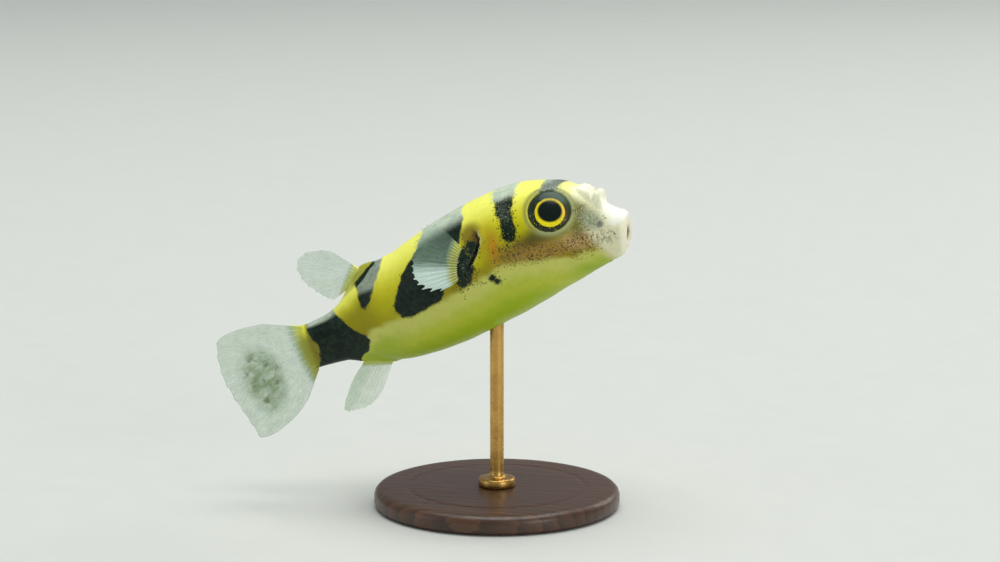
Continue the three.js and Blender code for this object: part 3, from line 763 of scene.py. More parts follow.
tone = paint(back.shape, (254, 255, 118), [
    # Flank, from the lit back down to the belly line: the first two coats are painted shade, darker
    # yellow where the surface turns away from the light above; olive coats lie lower and on the rear.
    ((222, 216, 30), 1 - ease(upward, 0.3, 0.85)),
    ((184, 180, 8), ease(upward, 0.6, 0.05) * ease(below, -7.0, -2.8)),
    ((158, 146, 24), ease(below, -1.9, -0.6) * (1 - 0.6 * ease(back, 22, 28))),
    ((146, 138, 8), ease(below, -6.4, -3.0) * ease(back, 32, 36.5) * 0.85),
    # Belly, from its pale edge down to the underside and the throat, greener lower down: the green is
    # painted light, green bounce light from below, over the belly's own olive-cream.
    ((202, 206, 104), ease(below, -0.35, 0.5)),
    ((186, 196, 64), ease(below, 1.2, 3.2)),
    ((158, 182, 34), ease(below, 3.0, 5.6)),
    ((160, 184, 50), ease(below, 0.8, 2.6) * ease(back, 30, 35) * 0.8),
    ((150, 176, 30), (1 - ease(back, 5.0, 9.5)) * ease(below, 0.2, 2.6)),
    # Cheek: ochre, an orange streak, brown above the gill with painted shade at the top of the gill
    # opening, painted shade under the eye, and rust down to the jaw.
    ((178, 150, 34), oval((15.6, 4.9), (1.5, 2.5), 6, 0.6) * 0.7),
    ((208, 136, 26), oval((15.35, 4.2), (0.42, 1.6), 8, 0.8) * 0.75),
    ((128, 108, 26), oval((17.9, 7.0), (1.5, 1.25), -20, 0.5) * 0.9),
    # Painted shade at the top of the gill opening, behind the flap.
    ((88, 64, 26), oval((17.3, 6.2), (0.6, 0.9), 0, 0.7) * 0.8),
    ((142, 116, 44), oval((12.6, 3.1), (2.6, 1.2), 6, 0.7) * 0.75),
    # Painted shade under and behind the bulging eye.
    ((92, 80, 32), oval((9.9, 3.5), (2.4, 1.15), 10, 0.7) * 0.92),
    ((166, 130, 46), oval((8.6, 1.9), (4.4, 0.95), 8, 0.7) * 0.9),
    ((190, 156, 96), oval((5.0, 1.9), (2.1, 1.15), 14, 0.6) * 0.95),
    # Pale snout and its lower edge, the lit forehead, dusky skin before the eye, and near-white over the
    # mouth that is partly pale skin and partly a painted highlight.
    ((230, 229, 196), paleSnout * 0.94),
    ((206, 198, 140), bell(jaw + 0.2, 0.5) * (1 - ease(up, 0.4, 1.6)) * 0.6),
    ((242, 248, 160), oval((4.8, 7.8), (2.4, 1.3), 45, 0.6) * 0.85),
    ((252, 255, 220), oval((3.5, 6.7), (1.1, 0.9), 30, 0.6) * 0.9),
    ((122, 124, 76), oval((4.0, 4.9), (1.0, 2.0), -22, 0.6) * 0.95),
    ((106, 106, 56), oval((4.7, 3.2), (0.8, 1.0), 0, 0.7) * 0.8),
    ((150, 164, 138), oval((2.8, 3.6), (0.9, 1.3), -20, 0.7) * 0.85),
    # Near-white front of the snout above the mouth: pale skin brightened by a painted highlight.
    ((248, 250, 240), (1 - ease(back - 0.25 * up, -0.2, 1.1)) * ease(up, 1.3, 2.4)),
    # Lips, the upper one brightened by a painted highlight, the dark lining inside the mouth, and
    # painted shade deeper in.
    ((250, 248, 222), lipTone * (1 - ease(up, 1.6, 2.6))),
    # Painted highlight: the upper lip near-white.
    ((253, 255, 246), lipTone * ease(up, 1.6, 2.6)),
    ((238, 216, 200), bell(lipU - 5.0, 1.0) * (1 - ease(up, 2.0, 2.8)) * 0.4),
    ((84, 62, 60), np.where(lipU < 50, 1 - ease(lipU, 2.7, 3.3), 0)),
    # Painted shade: near black deeper inside the mouth.
    ((34, 20, 20), np.where(lipU < 50, 1 - ease(lipU, 1.6, 2.8), 0)),
    # Nasal organs, and painted shade in their pits.
    ((255, 255, 234), noseTone * 0.92),
    ((96, 100, 92), np.clip(noseMask * (frontPit * 0.7 + rearPit), 0, 1) ** 1.6 * 0.8),
    # Rings of skin round the eye, a ring of painted shade below it, and painted shade in the socket.
    # Painted shade in a ring just below the eye.
    ((96, 98, 62), bell(eyeGap - 3.3, 0.4) * (1 - ease(up, 3.8, 5.8)) * 0.5),
    ((150, 152, 78), bell(eyeGap - rimRadius - 0.38, 0.32) * 0.85),
    ((166, 176, 134), bell(eyeGap - rimRadius - 0.22, 0.19) * rimPale * 0.85),
    # Painted shade in the socket, where the skin tucks under the eye.
    ((40, 48, 40), 1 - ease(eyeGap, rimRadius - 0.16, rimRadius - 0.02)),
    # Edge of the gill flap, and painted shade in the hollow behind it.
    ((214, 224, 164), gillWindow * bell(behind + 0.1, 0.13) * ease(up, 3.0, 3.8) * 0.9),
    ((58, 40, 22), np.clip(gillHollow * 1.2, 0, 1) * 0.85),
    # Roots of the tail fin and of the dorsal fin.
    ((132, 126, 40), ease(back, 43.4, 44.2)),
    ((158, 160, 58), ease(back, 44.5, 45.4)),
    ((232, 232, 74), ease(back, 44.4, 45.2) * ease(up, 0.6, 2.4)),
    ((198, 206, 110), ease(back, 45.3, 46.3) * (0.45 + 0.55 * ease(up, 0.4, 2.4))),
    ((150, 152, 44), onHump * ease(back - 32.6, 0.0, 1.0) * 0.85),
    ((222, 222, 110), onHump * ease(back - 36.4, 0.0, 1.0) * 0.85),
    # Painted shade along creases beside the mouth.
    ((118, 116, 96), creaseShade * 0.6),
])

skinPoints = toModel(shape)
rows, columns = shape.shape[:2]
faces = ringFaces(rows, columns)
faces += barFaces(0, columns) + barFaces((rows - 1) * columns, columns, flip=True)
skinPiece = makeMesh("skin", skinPoints, faces)
faceOutwards(skinPiece)
# The tone attribute holds the skin's own colours with the painted shade, highlights and green bounce light
# of the coats above.
addColour(skinPiece, "skinToneWithPaintedLight", tone)
bare = np.clip(lipTone + noseMask + (eyeGap < rimRadius + 0.35), 0, 1)
for name, values in (("darkEdge", darkEdge), ("sheenAndPaleMarks", sheenAndPaleMarks), ("freckles", freckles),
                     ("stipple", stipple), ("grains", grains), ("smooth", bare)):
    addAttribute(skinPiece, name, values)
print("skin mesh", len(skinPiece.data.polygons))

skinLook = {
    "shader": {
        "Specular IOR Level": 0.14, "Coat Weight": 0.12, "Coat Roughness": 0.16, "Subsurface Weight": 0.12,
        "Subsurface Radius": (1.0, 0.8, 0.35), "Subsurface Scale": 0.0007,
    },
    "relief": (3.1, 0.35, 0.35),  # prickles to the millimetre, their height, height of the pores
    "bumpStrength": 0.35,
    "bumpDistance": 0.00005,
    "ink": ((8, 24, 15), (24, 46, 33)),
    # colour of the painted sheen over the dark marks, also used for their pale grey patches
    "sheenAndPaleGrey": (206, 222, 200),
    "blush": (148, 108, 62),
    "freckle": (84, 74, 36),
    "largeFreckle": (52, 50, 30),
    "cloud": (0.84, 0.8, 0.52, 1.0),
    "dust": (0.5, 0.5, 0.26, 1.0),
    "paleGrain": (0.74, 0.72, 0.5, 1.0),
    "darkGrain": (0.34, 0.34, 0.22, 1.0),
}


# Skin: the tone attribute under dark marks, whose soft edges are broken up by pigment dots and which
# carry a painted sheen, with pale and dark grains, freckles of two sizes and a wet gloss.
def makeSkinMaterial():
    material, tree, shader = newMaterial("patternedSkin", (190, 190, 70), skinLook["shader"])
    place = millimetres(tree)
    edge = times(tree, wobble(tree, place, 1.0, 3.0, 0.55), 0.55, own(tree, "darkEdge"))
    edge = times(tree, wobble(tree, place, 5.0, 3.0, 0.65), 0.55, edge)
    ink = window(tree, edge, -0.2, 0.18)
    stipple = own(tree, "stipple")
    outside = times(tree, window(tree, edge, -0.9, 0.0), stipple)
    inside = times(tree, window(tree, edge, 0.0, 0.9, 1.0, 0.0), stipple)
    darkDots = dots(tree, place, 4.2, times(tree, outside, 0.85), 0.5)
    paleDots = dots(tree, place, 4.9, times(tree, inside, 0.5), 0.44)
    ink = calc(tree, "MAXIMUM", ink, times(tree, darkDots, 0.8))
    ink = times(tree, ink, times(tree, paleDots, -0.45, 1.0))

    tone = own(tree, "skinToneWithPaintedLight", "Color")
    cloud = window(tree, noise(tree, place, 1.7, 4.0, 0.62), 0.38, 0.72, 0.0, 0.3)
    mottled = mixColour(tree, cloud, tone, skinLook["cloud"], "MULTIPLY")
    dust = dots(tree, place, 9.0, 0.4, 0.36)
    mottled = mixColour(tree, times(tree, dust, 0.1), mottled, skinLook["dust"], "MULTIPLY")
    grainy = own(tree, "grains")
    pale = window(tree, noise(tree, place, 3.6, 3.0, 0.7), 0.5, 0.64, 0.0, 0.42)
    turned = millimetres(tree, turn=(1.0, 0.6, 0.3))
    deep = window(tree, noise(tree, turned, 4.2, 3.0, 0.7), 0.52, 0.64, 0.0, 0.7)
    mottled = mixColour(tree, times(tree, pale, grainy), mottled, skinLook["paleGrain"])
    mottled = mixColour(tree, times(tree, deep, grainy), mottled, skinLook["darkGrain"], "MULTIPLY")
    amount = own(tree, "freckles")
    patchy = times(tree, amount, window(tree, noise(tree, place, 1.9, 3.0, 0.6), 0.3, 0.6, 0.35, 1.0))
    large = dots(tree, place, 4.0, times(tree, patchy, 0.8), 0.5)
    fine = dots(tree, place, 6.4, patchy, 0.5)
    blush = times(tree, window(tree, noise(tree, place, 4.5, 3.0, 0.6), 0.45, 0.65), amount)
    mottled = mixColour(tree, times(tree, blush, 0.45), mottled, skinLook["blush"])
    spotted = mixColour(tree, times(tree, fine, 0.7), mottled, skinLook["freckle"])
    spotted = mixColour(tree, times(tree, large, 0.82), spotted, skinLook["largeFreckle"])

    dark = mixColour(tree, window(tree, noise(tree, place, 1.7, 4.0, 0.6), 0.35, 0.7), *skinLook["ink"])
    # Painted sheen: grey-white mixed into the dark marks where the sheen mask asks, broken up by noise.
    sheenBreakup = window(tree, noise(tree, place, 0.9, 3.0, 0.6), 0.25, 0.7, 0.7, 1.0)
    grit = wobble(tree, place, 5.5, 3.0, 0.7)
    broken = times(tree, grit, calc(tree, "ADD", stipple, 0.3), own(tree, "sheenAndPaleMarks"))
    sheenAndPaleGrey = times(tree, window(tree, broken, 0.15, 0.95), sheenBreakup)
    sheenAndPaleGrey = calc(tree, "MINIMUM", sheenAndPaleGrey, window(tree, own(tree, "sheenAndPaleMarks"), 0.0, 0.25))
    dark = mixColour(tree, sheenAndPaleGrey, dark, skinLook["sheenAndPaleGrey"])
    finished = mixColour(tree, ink, spotted, dark)
    rough = window(tree, noise(tree, place, 3.0, 3.0, 0.6), 0.3, 0.7, 0.36, 0.52)
    rough = times(tree, own(tree, "smooth"), -0.08, rough)
    height = useGroup(tree, reliefGroup, place, *skinLook["relief"])
    joinShader(tree, shader, finished, rough, height, skinLook["bumpStrength"], skinLook["bumpDistance"])
    return material


skinPiece.data.materials.append(makeSkinMaterial())
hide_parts("head", "trunk", "tail")
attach(skinPiece, "root")
print("skin done")


# Closed ball of latitude rings with one point at each pole.
def makeBall(name, shapeOf, rings, around):
    polar = np.linspace(0, math.pi, rings + 2)[1:-1, None]
    turn = np.linspace(0, 2 * math.pi, around, endpoint=False)[None]
    body = shapeOf(np.broadcast_to(polar, (rings, around)), np.broadcast_to(turn, (rings, around)))
    ends = shapeOf(np.array([[0.0], [math.pi]]), np.zeros((2, 1)))
    points = np.concatenate([body.reshape(-1, 3), ends.reshape(-1, 3)])
    piece = makeMesh(name, toModel(points), ringFaces(rings, around) + poleFaces(rings, around))
    faceOutwards(piece)
    return piece, points


eyeLook = {
    "pupil": (1.47, 1.36),
    "pupilMiddle": (0.12, -0.18),
    "ringOuter": (1.92, 1.9),
    "ringMiddle": (0.13, -0.3),
    "roll": 20.0,
    "grid": (96, 144),
}


# Eye: a flattened ball, the radius times the sine of the polar angle across its axis and the depth
# times the cosine along it. Its edges and colours come from distances in the plane of the eye.
def makeEye(name, handed):
    point, axis = eyeAxis(handed)
    forward = np.array([-1.0, 0, 0]) + axis * axis[0]
    forward = forward / np.linalg.norm(forward)
    above = np.cross(forward, axis) * handed
    above = above if above[2] > 0 else -above
    centre = point - eyes["sink"] * axis

    def shapeOf(polar, turn):
        reach = eyes["radius"] * np.sin(polar)
        depth = eyes["depth"] * np.cos(polar)
        around = np.cos(turn)[..., None] * forward + np.sin(turn)[..., None] * above
        return centre + reach[..., None] * around + depth[..., None] * axis

    piece, points = makeBall(name, shapeOf, *eyeLook["grid"])
    away = points - centre
    a = math.radians(eyeLook["roll"])
    fore, rise = away @ forward, away @ above
    x = fore * math.cos(a) - rise * math.sin(a)
    y = fore * math.sin(a) + rise * math.cos(a)
    turn = np.arctan2(y, x)
    r = np.hypot(x, y)
    pupil = (1 - ovalShare(x, y, eyeLook["pupilMiddle"], eyeLook["pupil"])) * min(eyeLook["pupil"])
    ring = (1 - ovalShare(x, y, eyeLook["ringMiddle"], eyeLook["ringOuter"])) * min(eyeLook["ringOuter"])
    low, high = np.clip(-np.sin(turn), 0, 1), np.clip(np.sin(turn), 0, 1)
    fores, rears = np.clip(np.cos(turn), 0, 1), np.clip(-np.cos(turn), 0, 1)

    addColour(piece, "gold", paint(x.shape, (240, 222, 30), [
        ((196, 180, 60), ease(high, 0.3, 1.0) * 0.9),
        ((255, 244, 40), ease(low, 0.3, 1.0) * 0.95),
        ((255, 222, 104), bell(turn - 0.12, 0.34) * 0.85),
    ]))
    addColour(piece, "outerAndReflection", paint(x.shape, (40, 52, 42), [
        # Painted reflection: teal-grey over the upper part, a soft reflection of the light above.
        ((64, 94, 84), ease(high, 0.2, 0.9) * (0.5 + 0.5 * fores)),
        ((58, 80, 74), ease(high, 0.5, 1.0) * 0.6),
        ((20, 38, 34), rears * 0.9),
        ((30, 30, 16), ease(low, 0.1, 0.9) * 0.85),
        ((96, 66, 28), bell(turn + 0.25, 0.5) * (1 - ease(r, 2.3, 2.6)) * 0.75),
        ((88, 100, 84), ease(r, 2.5, 2.8) * 0.45),
        ((18, 20, 16), ease(r, 2.84, 2.96)),
    ]))
    addAttribute(piece, "pupilEdge", pupil)
    addAttribute(piece, "ringEdge", ring)
    addAttribute(piece, "lowSide", low)
    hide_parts(name)
    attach(piece, "root")
    return piece


# Eye: slate, with a painted teal reflection on its upper part, round a gold ring round a dark pupil,
# edges rippled by noise, olive flecks low down.
def makeEyeMaterial():
    material, tree, shader = newMaterial("goldRingedEye", (60, 70, 50), {
        "Specular IOR Level": 0.1, "Coat Weight": 0.25, "Coat Roughness": 0.03, "Coat IOR": 1.33})
    place = millimetres(tree)
    ripple = wobble(tree, place, 3.2, 3.0, 0.6)
    fleck = noise(tree, place, 7.0, 3.0, 0.65)
    ringEdge = times(tree, ripple, 0.22, own(tree, "ringEdge"))
    ringMask = window(tree, ringEdge, -0.03, 0.06)
    pupilMask = window(tree, times(tree, ripple, 0.06, own(tree, "pupilEdge")), -0.04, 0.03)
    amber = window(tree, fleck, 0.4, 0.75, 0.0, 0.6)
    gold = mixColour(tree, amber, own(tree, "gold", "Color"), (0.62, 0.42, 0.08, 1.0), "MULTIPLY")
    innerShade = window(tree, own(tree, "pupilEdge"), -0.2, -0.05)
    gold = mixColour(tree, times(tree, innerShade, 0.75), gold, (92, 78, 14))
    moss = window(tree, fleck, 0.4, 0.72, 0.0, 0.34)
    outerAndReflection = mixColour(tree, moss, own(tree, "outerAndReflection", "Color"), (96, 106, 70))
    flecks = dots(tree, place, 4.6, times(tree, own(tree, "lowSide"), 0.5), 0.38)
    outerAndReflection = mixColour(tree, times(tree, flecks, 0.8), outerAndReflection, (168, 172, 48))
    colour = mixColour(tree, ringMask, outerAndReflection, gold)
    colour = mixColour(tree, pupilMask, colour, (16, 30, 26))
    rough = window(tree, ringMask, 0.0, 1.0, 0.3, 0.22)
    height = times(tree, fleck, calc(tree, "SUBTRACT", 1.0, pupilMask))
    joinShader(tree, shader, colour, rough, height, 0.25, 0.00004)
    return material


eyeMaterial = makeEyeMaterial()
for name, handed in (("eye_left", 1), ("eye_right", -1)):
    eyePiece = makeEye(name, handed)
    eyePiece.name = name + "_ball"
    eyePiece.data.materials.append(eyeMaterial)
print("eyes done")

beakShape = {
    "halfArc": 58.0,
    "steps": 72,
    # Distance from the middle of the mouth and distance ahead of it, from the outer face inwards.
    "profile": [[0.74, -1.3], [0.745, -0.8], [0.74, -0.45], [0.70, -0.24], [0.62, -0.1], [0.52, -0.02],
                [0.42, 0.02], [0.36, -0.04], [0.34, -0.2], [0.36, -0.6], [0.42, -1.3]],
    "halfGap": 0.12,
    "width": 0.92,
    "groove": 0.05,
    "ripple": 0.012,
}


# Tooth plate: a ring profile swept round an arc about the middle of the mouth.
def makeBeak(name, facing):
    steps, count = beakShape["steps"], len(beakShape["profile"])
    sweep = np.radians(np.linspace(-beakShape["halfArc"], beakShape["halfArc"], steps))[:, None]
    profile = np.array(beakShape["profile"])
    r, ahead = profile[None, :, 0], profile[None, :, 1]
    dip = beakShape["groove"] * bell(np.sin(sweep) * 0.6, 0.055)
    ripple = beakShape["ripple"] * np.cos(sweep * 40)
    r = r - (dip + ripple) * (ahead > -0.9)
    ahead = ahead - 1.2 * dip * (ahead > -0.3)
    forward = np.array(skin["lipAhead"])
    rise = np.array([forward[2], 0.0, -forward[0]])
    rise = rise / np.linalg.norm(rise)
    centre = lipMiddle + rise * facing * beakShape["halfGap"]
    points = (centre + r[..., None] * (facing * np.cos(sweep)[..., None] * rise)
              + ahead[..., None] * forward)
    points[..., 1] += r * np.sin(sweep) * beakShape["width"]
    faces = ringFaces(steps, count)
    faces += [list(range(count)), list(range(steps * count - 1, (steps - 1) * count - 1, -1))]
    piece = makeMesh(name + "_plate", toModel(points), faces)
    faceOutwards(piece)
    addAttribute(piece, "groove", np.repeat(bell(np.sin(sweep) * 0.6, 0.05), count, 1))
    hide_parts(name)
    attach(piece, "root")
    return piece


# Beak: layered ivory, darker along the groove between its two halves.
def makeBeakMaterial():
    material, tree, shader = newMaterial("ivoryBeak", (226, 216, 186), {"Coat Weight": 0.3})
    layers = noise(tree, millimetres(tree, (1.0, 1.0, 3.0)), 2.4, 3.0, 0.6)
    ivory = mixColour(tree, window(tree, layers, 0.3, 0.7), (238, 232, 208), (206, 190, 146))
    ivory = mixColour(tree, times(tree, own(tree, "groove"), 0.75), ivory, (120, 96, 62))
    rough = window(tree, noise(tree, millimetres(tree), 6.0), 0.3, 0.7, 0.26, 0.42)
    joinShader(tree, shader, ivory, rough, layers, 0.3, 0.00003)
    return material


beakMaterial = makeBeakMaterial()
for name, facing in (("beak_upper", 1), ("beak_lower", -1)):
    makeBeak(name, facing).data.materials.append(beakMaterial)
print("beak done")

fins = {
    "caudal_fin": {
        "root": [[45.2, 2.85], [45.2, -3.4]], "bow": 0.0, "fan": [22, -50], "inset": 0.0, "rays": 11,
        "reach": [5.4, 11.1, 12.2, 12.45, 12.45, 12.35, 12.35, 12.55, 12.5, 8.9, 4.2], "fade": 1.3,
        "grid": [64, 221], "thick": 0.6, "wave": 0.28, "cut": 0.25, "rag": 0.0,
    },
    "dorsal_fin": {
        "root": [[35.6, 7.75], [38.5, 5.1]], "bow": 0.0, "fan": [50, -20], "inset": 1.2, "rays": 10,
        "reach": [4.1, 6.5, 7.7, 7.2, 6.1, 4.8, 3.6, 2.6, 1.7], "fade": 0.8,
        "grid": [48, 161], "thick": 0.42, "wave": 0.2, "cut": 0.35, "rag": 0.0,
    },
    "anal_fin": {
        "root": [[35.4, -5.5], [39.3, -4.5]], "bow": 0.0, "fan": [-50, -36], "inset": 1.2, "rays": 9,
        "reach": [4.2, 6.0, 6.7, 7.1, 7.4, 7.6, 7.2, 5.2, 2.2], "fade": 0.8,
        "grid": [48, 145], "thick": 0.4, "wave": 0.2, "cut": 0.3, "rag": 0.0,
    },
}
pectoralFin = {
    "root": [[0.2, 0.1], [0.2, 4.9]], "bow": 0.5, "fan": [-40, 40], "inset": 0.9, "rays": 15,
    "reach": [3.8, 5.4, 5.5, 5.6, 5.7, 5.7, 5.5, 4.1, 1.7], "fade": 0.6,
    "grid": [48, 209], "thick": 0.4, "wave": 0.1, "cut": 0.55, "rag": 1.2,
    "top": (19.43, 5.92, 6.23), "low": (21.37, 6.81, 1.82), "out": 27.0, "cup": 0.02,
}
finSheet = {
    "membrane": 0.045,
    "ray": 0.075,
    "rayWidth": 0.2,
    "forkFrom": 0.42,
    "fork": 0.42,
    "segments": 9.0,
    # pale colour of the painted highlight on the lowest rays
    "lowRayHighlightColour": (214, 240, 230),
    "cloud": (0.45, 0.55, 0.45, 1.0),
    "smudge": (112, 142, 70),
    "blots": (72, 96, 40),
    # Middle and half width of the smudge, along the rays and across them.
    "smudgeAlong": (0.6, 0.3),
    "smudgeAcross": (0.5, 0.36),
}


# Fin: rays fan out from a root line; the thickness is a thin sheet plus a ridge along every ray,
# each ray splitting in two halfway, with scalloped tips and a slow wave across the sheet.
def makeFin(name, look, frameOf):
    rows, columns = look["grid"]
    u = np.linspace(0, 1, rows)[:, None]
    v = np.linspace(0, 1, columns)[None]
    count = look["rays"]
    phase = v * count
    nearest = np.abs((phase % 1.0) - 0.5) * 2
    fork = finSheet["fork"] * ease(u, finSheet["forkFrom"], 1.0)
    ridge = bell(1 - nearest - fork, finSheet["rayWidth"]) * (1 - 0.55 * u)
    angle = np.radians(look["fan"][0] + (look["fan"][1] - look["fan"][0]) * v)
    reach = throughRows([[r] for r in look["reach"]], v * (len(look["reach"]) - 1))[..., 0]
    tips = (0.5 - 0.5 * np.cos(2 * math.pi * phase * 2)) * 0.35 + (nearest**2) * 0.65
    rng = np.random.default_rng(11 + count)
    frays = np.interp(v, np.linspace(0, 1, count * 2 + 1), rng.uniform(0, 1, count * 2 + 1))
    cut = look["cut"] * (1 + look["rag"] * ease(v, 0.6, 0.85))
    out = reach - cut * tips - 0.35 * cut * frays
    travel = -look["inset"] + (out + look["inset"]) * u
    (startA, startB), (endA, endB) = look["root"]
    swell = look["bow"] * 4 * v * (1 - v)
    a = startA + (endA - startA) * v + swell + travel * np.cos(angle)
    b = startB + (endB - startB) * v + travel * np.sin(angle)
    share = np.clip(travel / np.maximum(reach, 1), 0, 1)
    base = look["thick"] * np.exp(-np.clip(travel, 0, None) / look["fade"])
    half = finSheet["membrane"] * (1 - 0.5 * share) + finSheet["ray"] * ridge * (1 - 0.5 * share) + base
    edge = ease(np.minimum(v, 1 - v) * columns, 0, 3)
    half = half * (0.25 + 0.75 * edge) * (1 - 0.6 * ease(u, 0.96, 1.0))
    wave = look["wave"] * share * (np.sin(v * 7.3 + u * 2.1) * 0.6 + np.sin(v * 15.0 - u * 3.0 + 1.0) * 0.4)
    near, far = frameOf(a, b, wave + half), frameOf(a, b, wave - half)
    points = np.concatenate([near, far[:, ::-1]], 1)
    around = columns * 2
    faces = ringFaces(rows, around) + barFaces(0, around, paired=True)
    faces += barFaces((rows - 1) * around, around, flip=True, paired=True)
    piece = makeMesh(name + "_sheet", toModel(points), faces)
    faceOutwards(piece)
    for label, values in (("ray", ridge), ("share", share), ("travel", travel), ("across", v)):
        values = np.broadcast_to(values, a.shape)
        addAttribute(piece, label, np.concatenate([values, values[:, ::-1]], 1))
    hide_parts(name)
    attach(piece, "root")
    return piece


# A middle fin stands in the fish's own plane, so its two coordinates are back and up as they come.
def midplane(a, b, half):
    return np.stack([a, half, b], -1)


# Local frame of a pectoral fin: down its root line, back and out from it, cupped by the square of
# the distance back.
def flankFrame(handed):
    top = np.array(pectoralFin["top"]) * (1, handed, 1)
    low = np.array(pectoralFin["low"]) * (1, handed, 1)
    down = (low - top) / np.linalg.norm(low - top)
    out = math.radians(pectoralFin["out"])
    behindWay = np.array([math.cos(out), handed * math.sin(out), 0.0])
    behindWay = behindWay - down * (behindWay @ down)
    behindWay = behindWay / np.linalg.norm(behindWay)
    face = np.cross(down, behindWay)
    face = face if face[1] * handed > 0 else -face

    def place(a, b, half):
        depth = (half + pectoralFin["cup"] * a * a)[..., None]
        return top + a[..., None] * behindWay + b[..., None] * down + depth * face
    return place


# Fin tissue: clear between the rays and milky along them, with joints across each ray. Clear is the
# alpha between rays and solidRay what a ray adds. The root colour runs down to rootLow and holds for
# rootHold millimetres before it fades over rootReach, with an alpha of rootSolid. Low, from 0 to 1,
# is how much brighter and more solid the lowest rays are painted, a painted highlight, and smudge how
# dark the soft blots in the middle lie.
plainTissue = {"rootHold": 0.1, "rootSolid": 0.95, "low": 0.0, "smudge": 0.0}
finTissue = {
    "caudal_fin": {
        **plainTissue, "membrane": (176, 208, 178), "ray": (226, 240, 220), "root": (216, 222, 112),
        "rootLow": (172, 178, 82), "rootReach": 1.9, "rootHold": 1.05,
        "clear": 0.3, "solidRay": 0.3, "smudge": 1.0,
    },
    "dorsal_fin": {
        **plainTissue, "membrane": (178, 212, 184), "ray": (226, 240, 222), "root": (222, 228, 128),
        "rootLow": (206, 214, 118), "rootReach": 1.2, "clear": 0.26, "solidRay": 0.26,
    },
    "anal_fin": {
        **plainTissue, "membrane": (184, 218, 172), "ray": (228, 242, 216), "root": (190, 202, 100),
        "rootLow": (190, 202, 100), "rootReach": 0.8, "clear": 0.24, "solidRay": 0.24, "low": 0.25,
    },
    "pectoral_fin": {
        **plainTissue, "membrane": (152, 188, 164), "ray": (236, 248, 240), "root": (206, 214, 66),
        "rootLow": (182, 186, 60), "rootReach": 1.6, "rootHold": 0.2, "rootSolid": 0.72,
        "clear": 0.22, "solidRay": 0.32, "low": 1.0,
    },
}


# Fin: the membrane's colour, then the root's, the rays' and the smudge's, and an alpha to match.
def makeFinMaterial(name, look):
    constants = {"Specular IOR Level": 0.3}
    material, tree, shader = newMaterial(name + "_tissue", look["membrane"], constants)
    place = millimetres(tree)
    rayMask = own(tree, "ray")
    travel = own(tree, "travel")
    cloudy = noise(tree, place, 0.8, 4.0, 0.6)
    joints = calc(tree, "SINE", times(tree, travel, finSheet["segments"]))
    jointed = times(tree, window(tree, joints, 0.2, 1.0), rayMask)
    across = own(tree, "across")
    # Painted highlight: the lowest rays are lightened towards a pale colour and made more solid.
    lowRayHighlight = times(tree, window(tree, across, 0.48, 0.68), look["low"])
    shown = calc(tree, "MAXIMUM", window(tree, across, 0.4, 0.68, 0.5, 1.0),
                 window(tree, travel, 0.4, 2.0, 1.0, 0.0))
    shown = times(tree, calc(tree, "SUBTRACT", shown, 1.0), look["low"], 1.0)
    rayShown = times(tree, rayMask, shown)
    membrane = mixColour(tree, lowRayHighlight, look["membrane"], finSheet["lowRayHighlightColour"])
    colour = mixColour(tree, window(tree, cloudy, 0.3, 0.7, 0.0, 0.25), membrane, finSheet["cloud"])
    hold, reach = look["rootHold"], look["rootReach"]
    swing = calc(tree, "SUBTRACT", cloudy, 0.5)
    rooted = times(tree, swing, reach * 0.5, travel)
    rooted = window(tree, rooted, hold * 0.7, hold * 0.7 + reach * 0.7, 1.0, 0.0)
    rootTone = mixColour(tree, window(tree, across, 0.1, 0.4), look["root"], look["rootLow"])
    colour = mixColour(tree, rooted, colour, rootTone)
    overRoot = times(tree, rooted, look["low"] - 1.0, 1.0)
    milky = times(tree, window(tree, rayShown, 0.15, 0.85), overRoot)
    colour = mixColour(tree, milky, colour, look["ray"])
    darkRay = tuple(c * 0.8 for c in look["ray"])
    colour = mixColour(tree, times(tree, times(tree, jointed, 0.22), overRoot), colour, darkRay)
    solid = window(tree, rayShown, 0.1, 0.9, look["clear"], look["clear"] + look["solidRay"])
    solid = times(tree, swing, 0.3, solid)
    thinned = times(tree, window(tree, across, 0.0, 0.4, 0.45, 0.0), -look["low"], 1.0)
    solid = times(tree, solid, thinned)
    solid = times(tree, lowRayHighlight, 0.62, solid)
    rootSolid = window(tree, travel, hold, hold + reach, look["rootSolid"], 0.0)
    solid = calc(tree, "MAXIMUM", solid, rootSolid, clamp=True)
    if look["smudge"] > 0:
        axes = (("share", *finSheet["smudgeAlong"]), ("across", *finSheet["smudgeAcross"]))
        far, off = [calc(tree, "DIVIDE", calc(tree, "SUBTRACT", own(tree, label), middle), size)
                    for label, middle, size in axes]
        gap = calc(tree, "ADD", times(tree, far, far), times(tree, off, off))
        smudge = times(tree, window(tree, gap, 0.0, 1.0, 1.0, 0.0), look["smudge"])
        soft = times(tree, smudge, window(tree, noise(tree, place, 0.7, 3.0, 0.55), 0.3, 0.66, 0.4, 1.0))
        blots = window(tree, noise(tree, millimetres(tree, turn=(0.4, 0.9, 0.2)), 0.9), 0.5, 0.68)
        blots = times(tree, window(tree, smudge, 0.3, 0.9), blots)
        colour = mixColour(tree, times(tree, soft, 0.9), colour, finSheet["smudge"])
        colour = mixColour(tree, times(tree, blots, 0.8), colour, finSheet["blots"])
        solid = times(tree, soft, 0.3, solid)
        solid = times(tree, blots, 0.16, solid, clamp=True)
    tree.links.new(solid, shader.inputs["Alpha"])
    rough = window(tree, cloudy, 0.3, 0.7, 0.3, 0.48)
    height = calc(tree, "SUBTRACT", times(tree, noise(tree, place, 5.0, 3.0), 0.5), jointed)
    joinShader(tree, shader, colour, rough, height, 0.4, 0.00004)
    return material


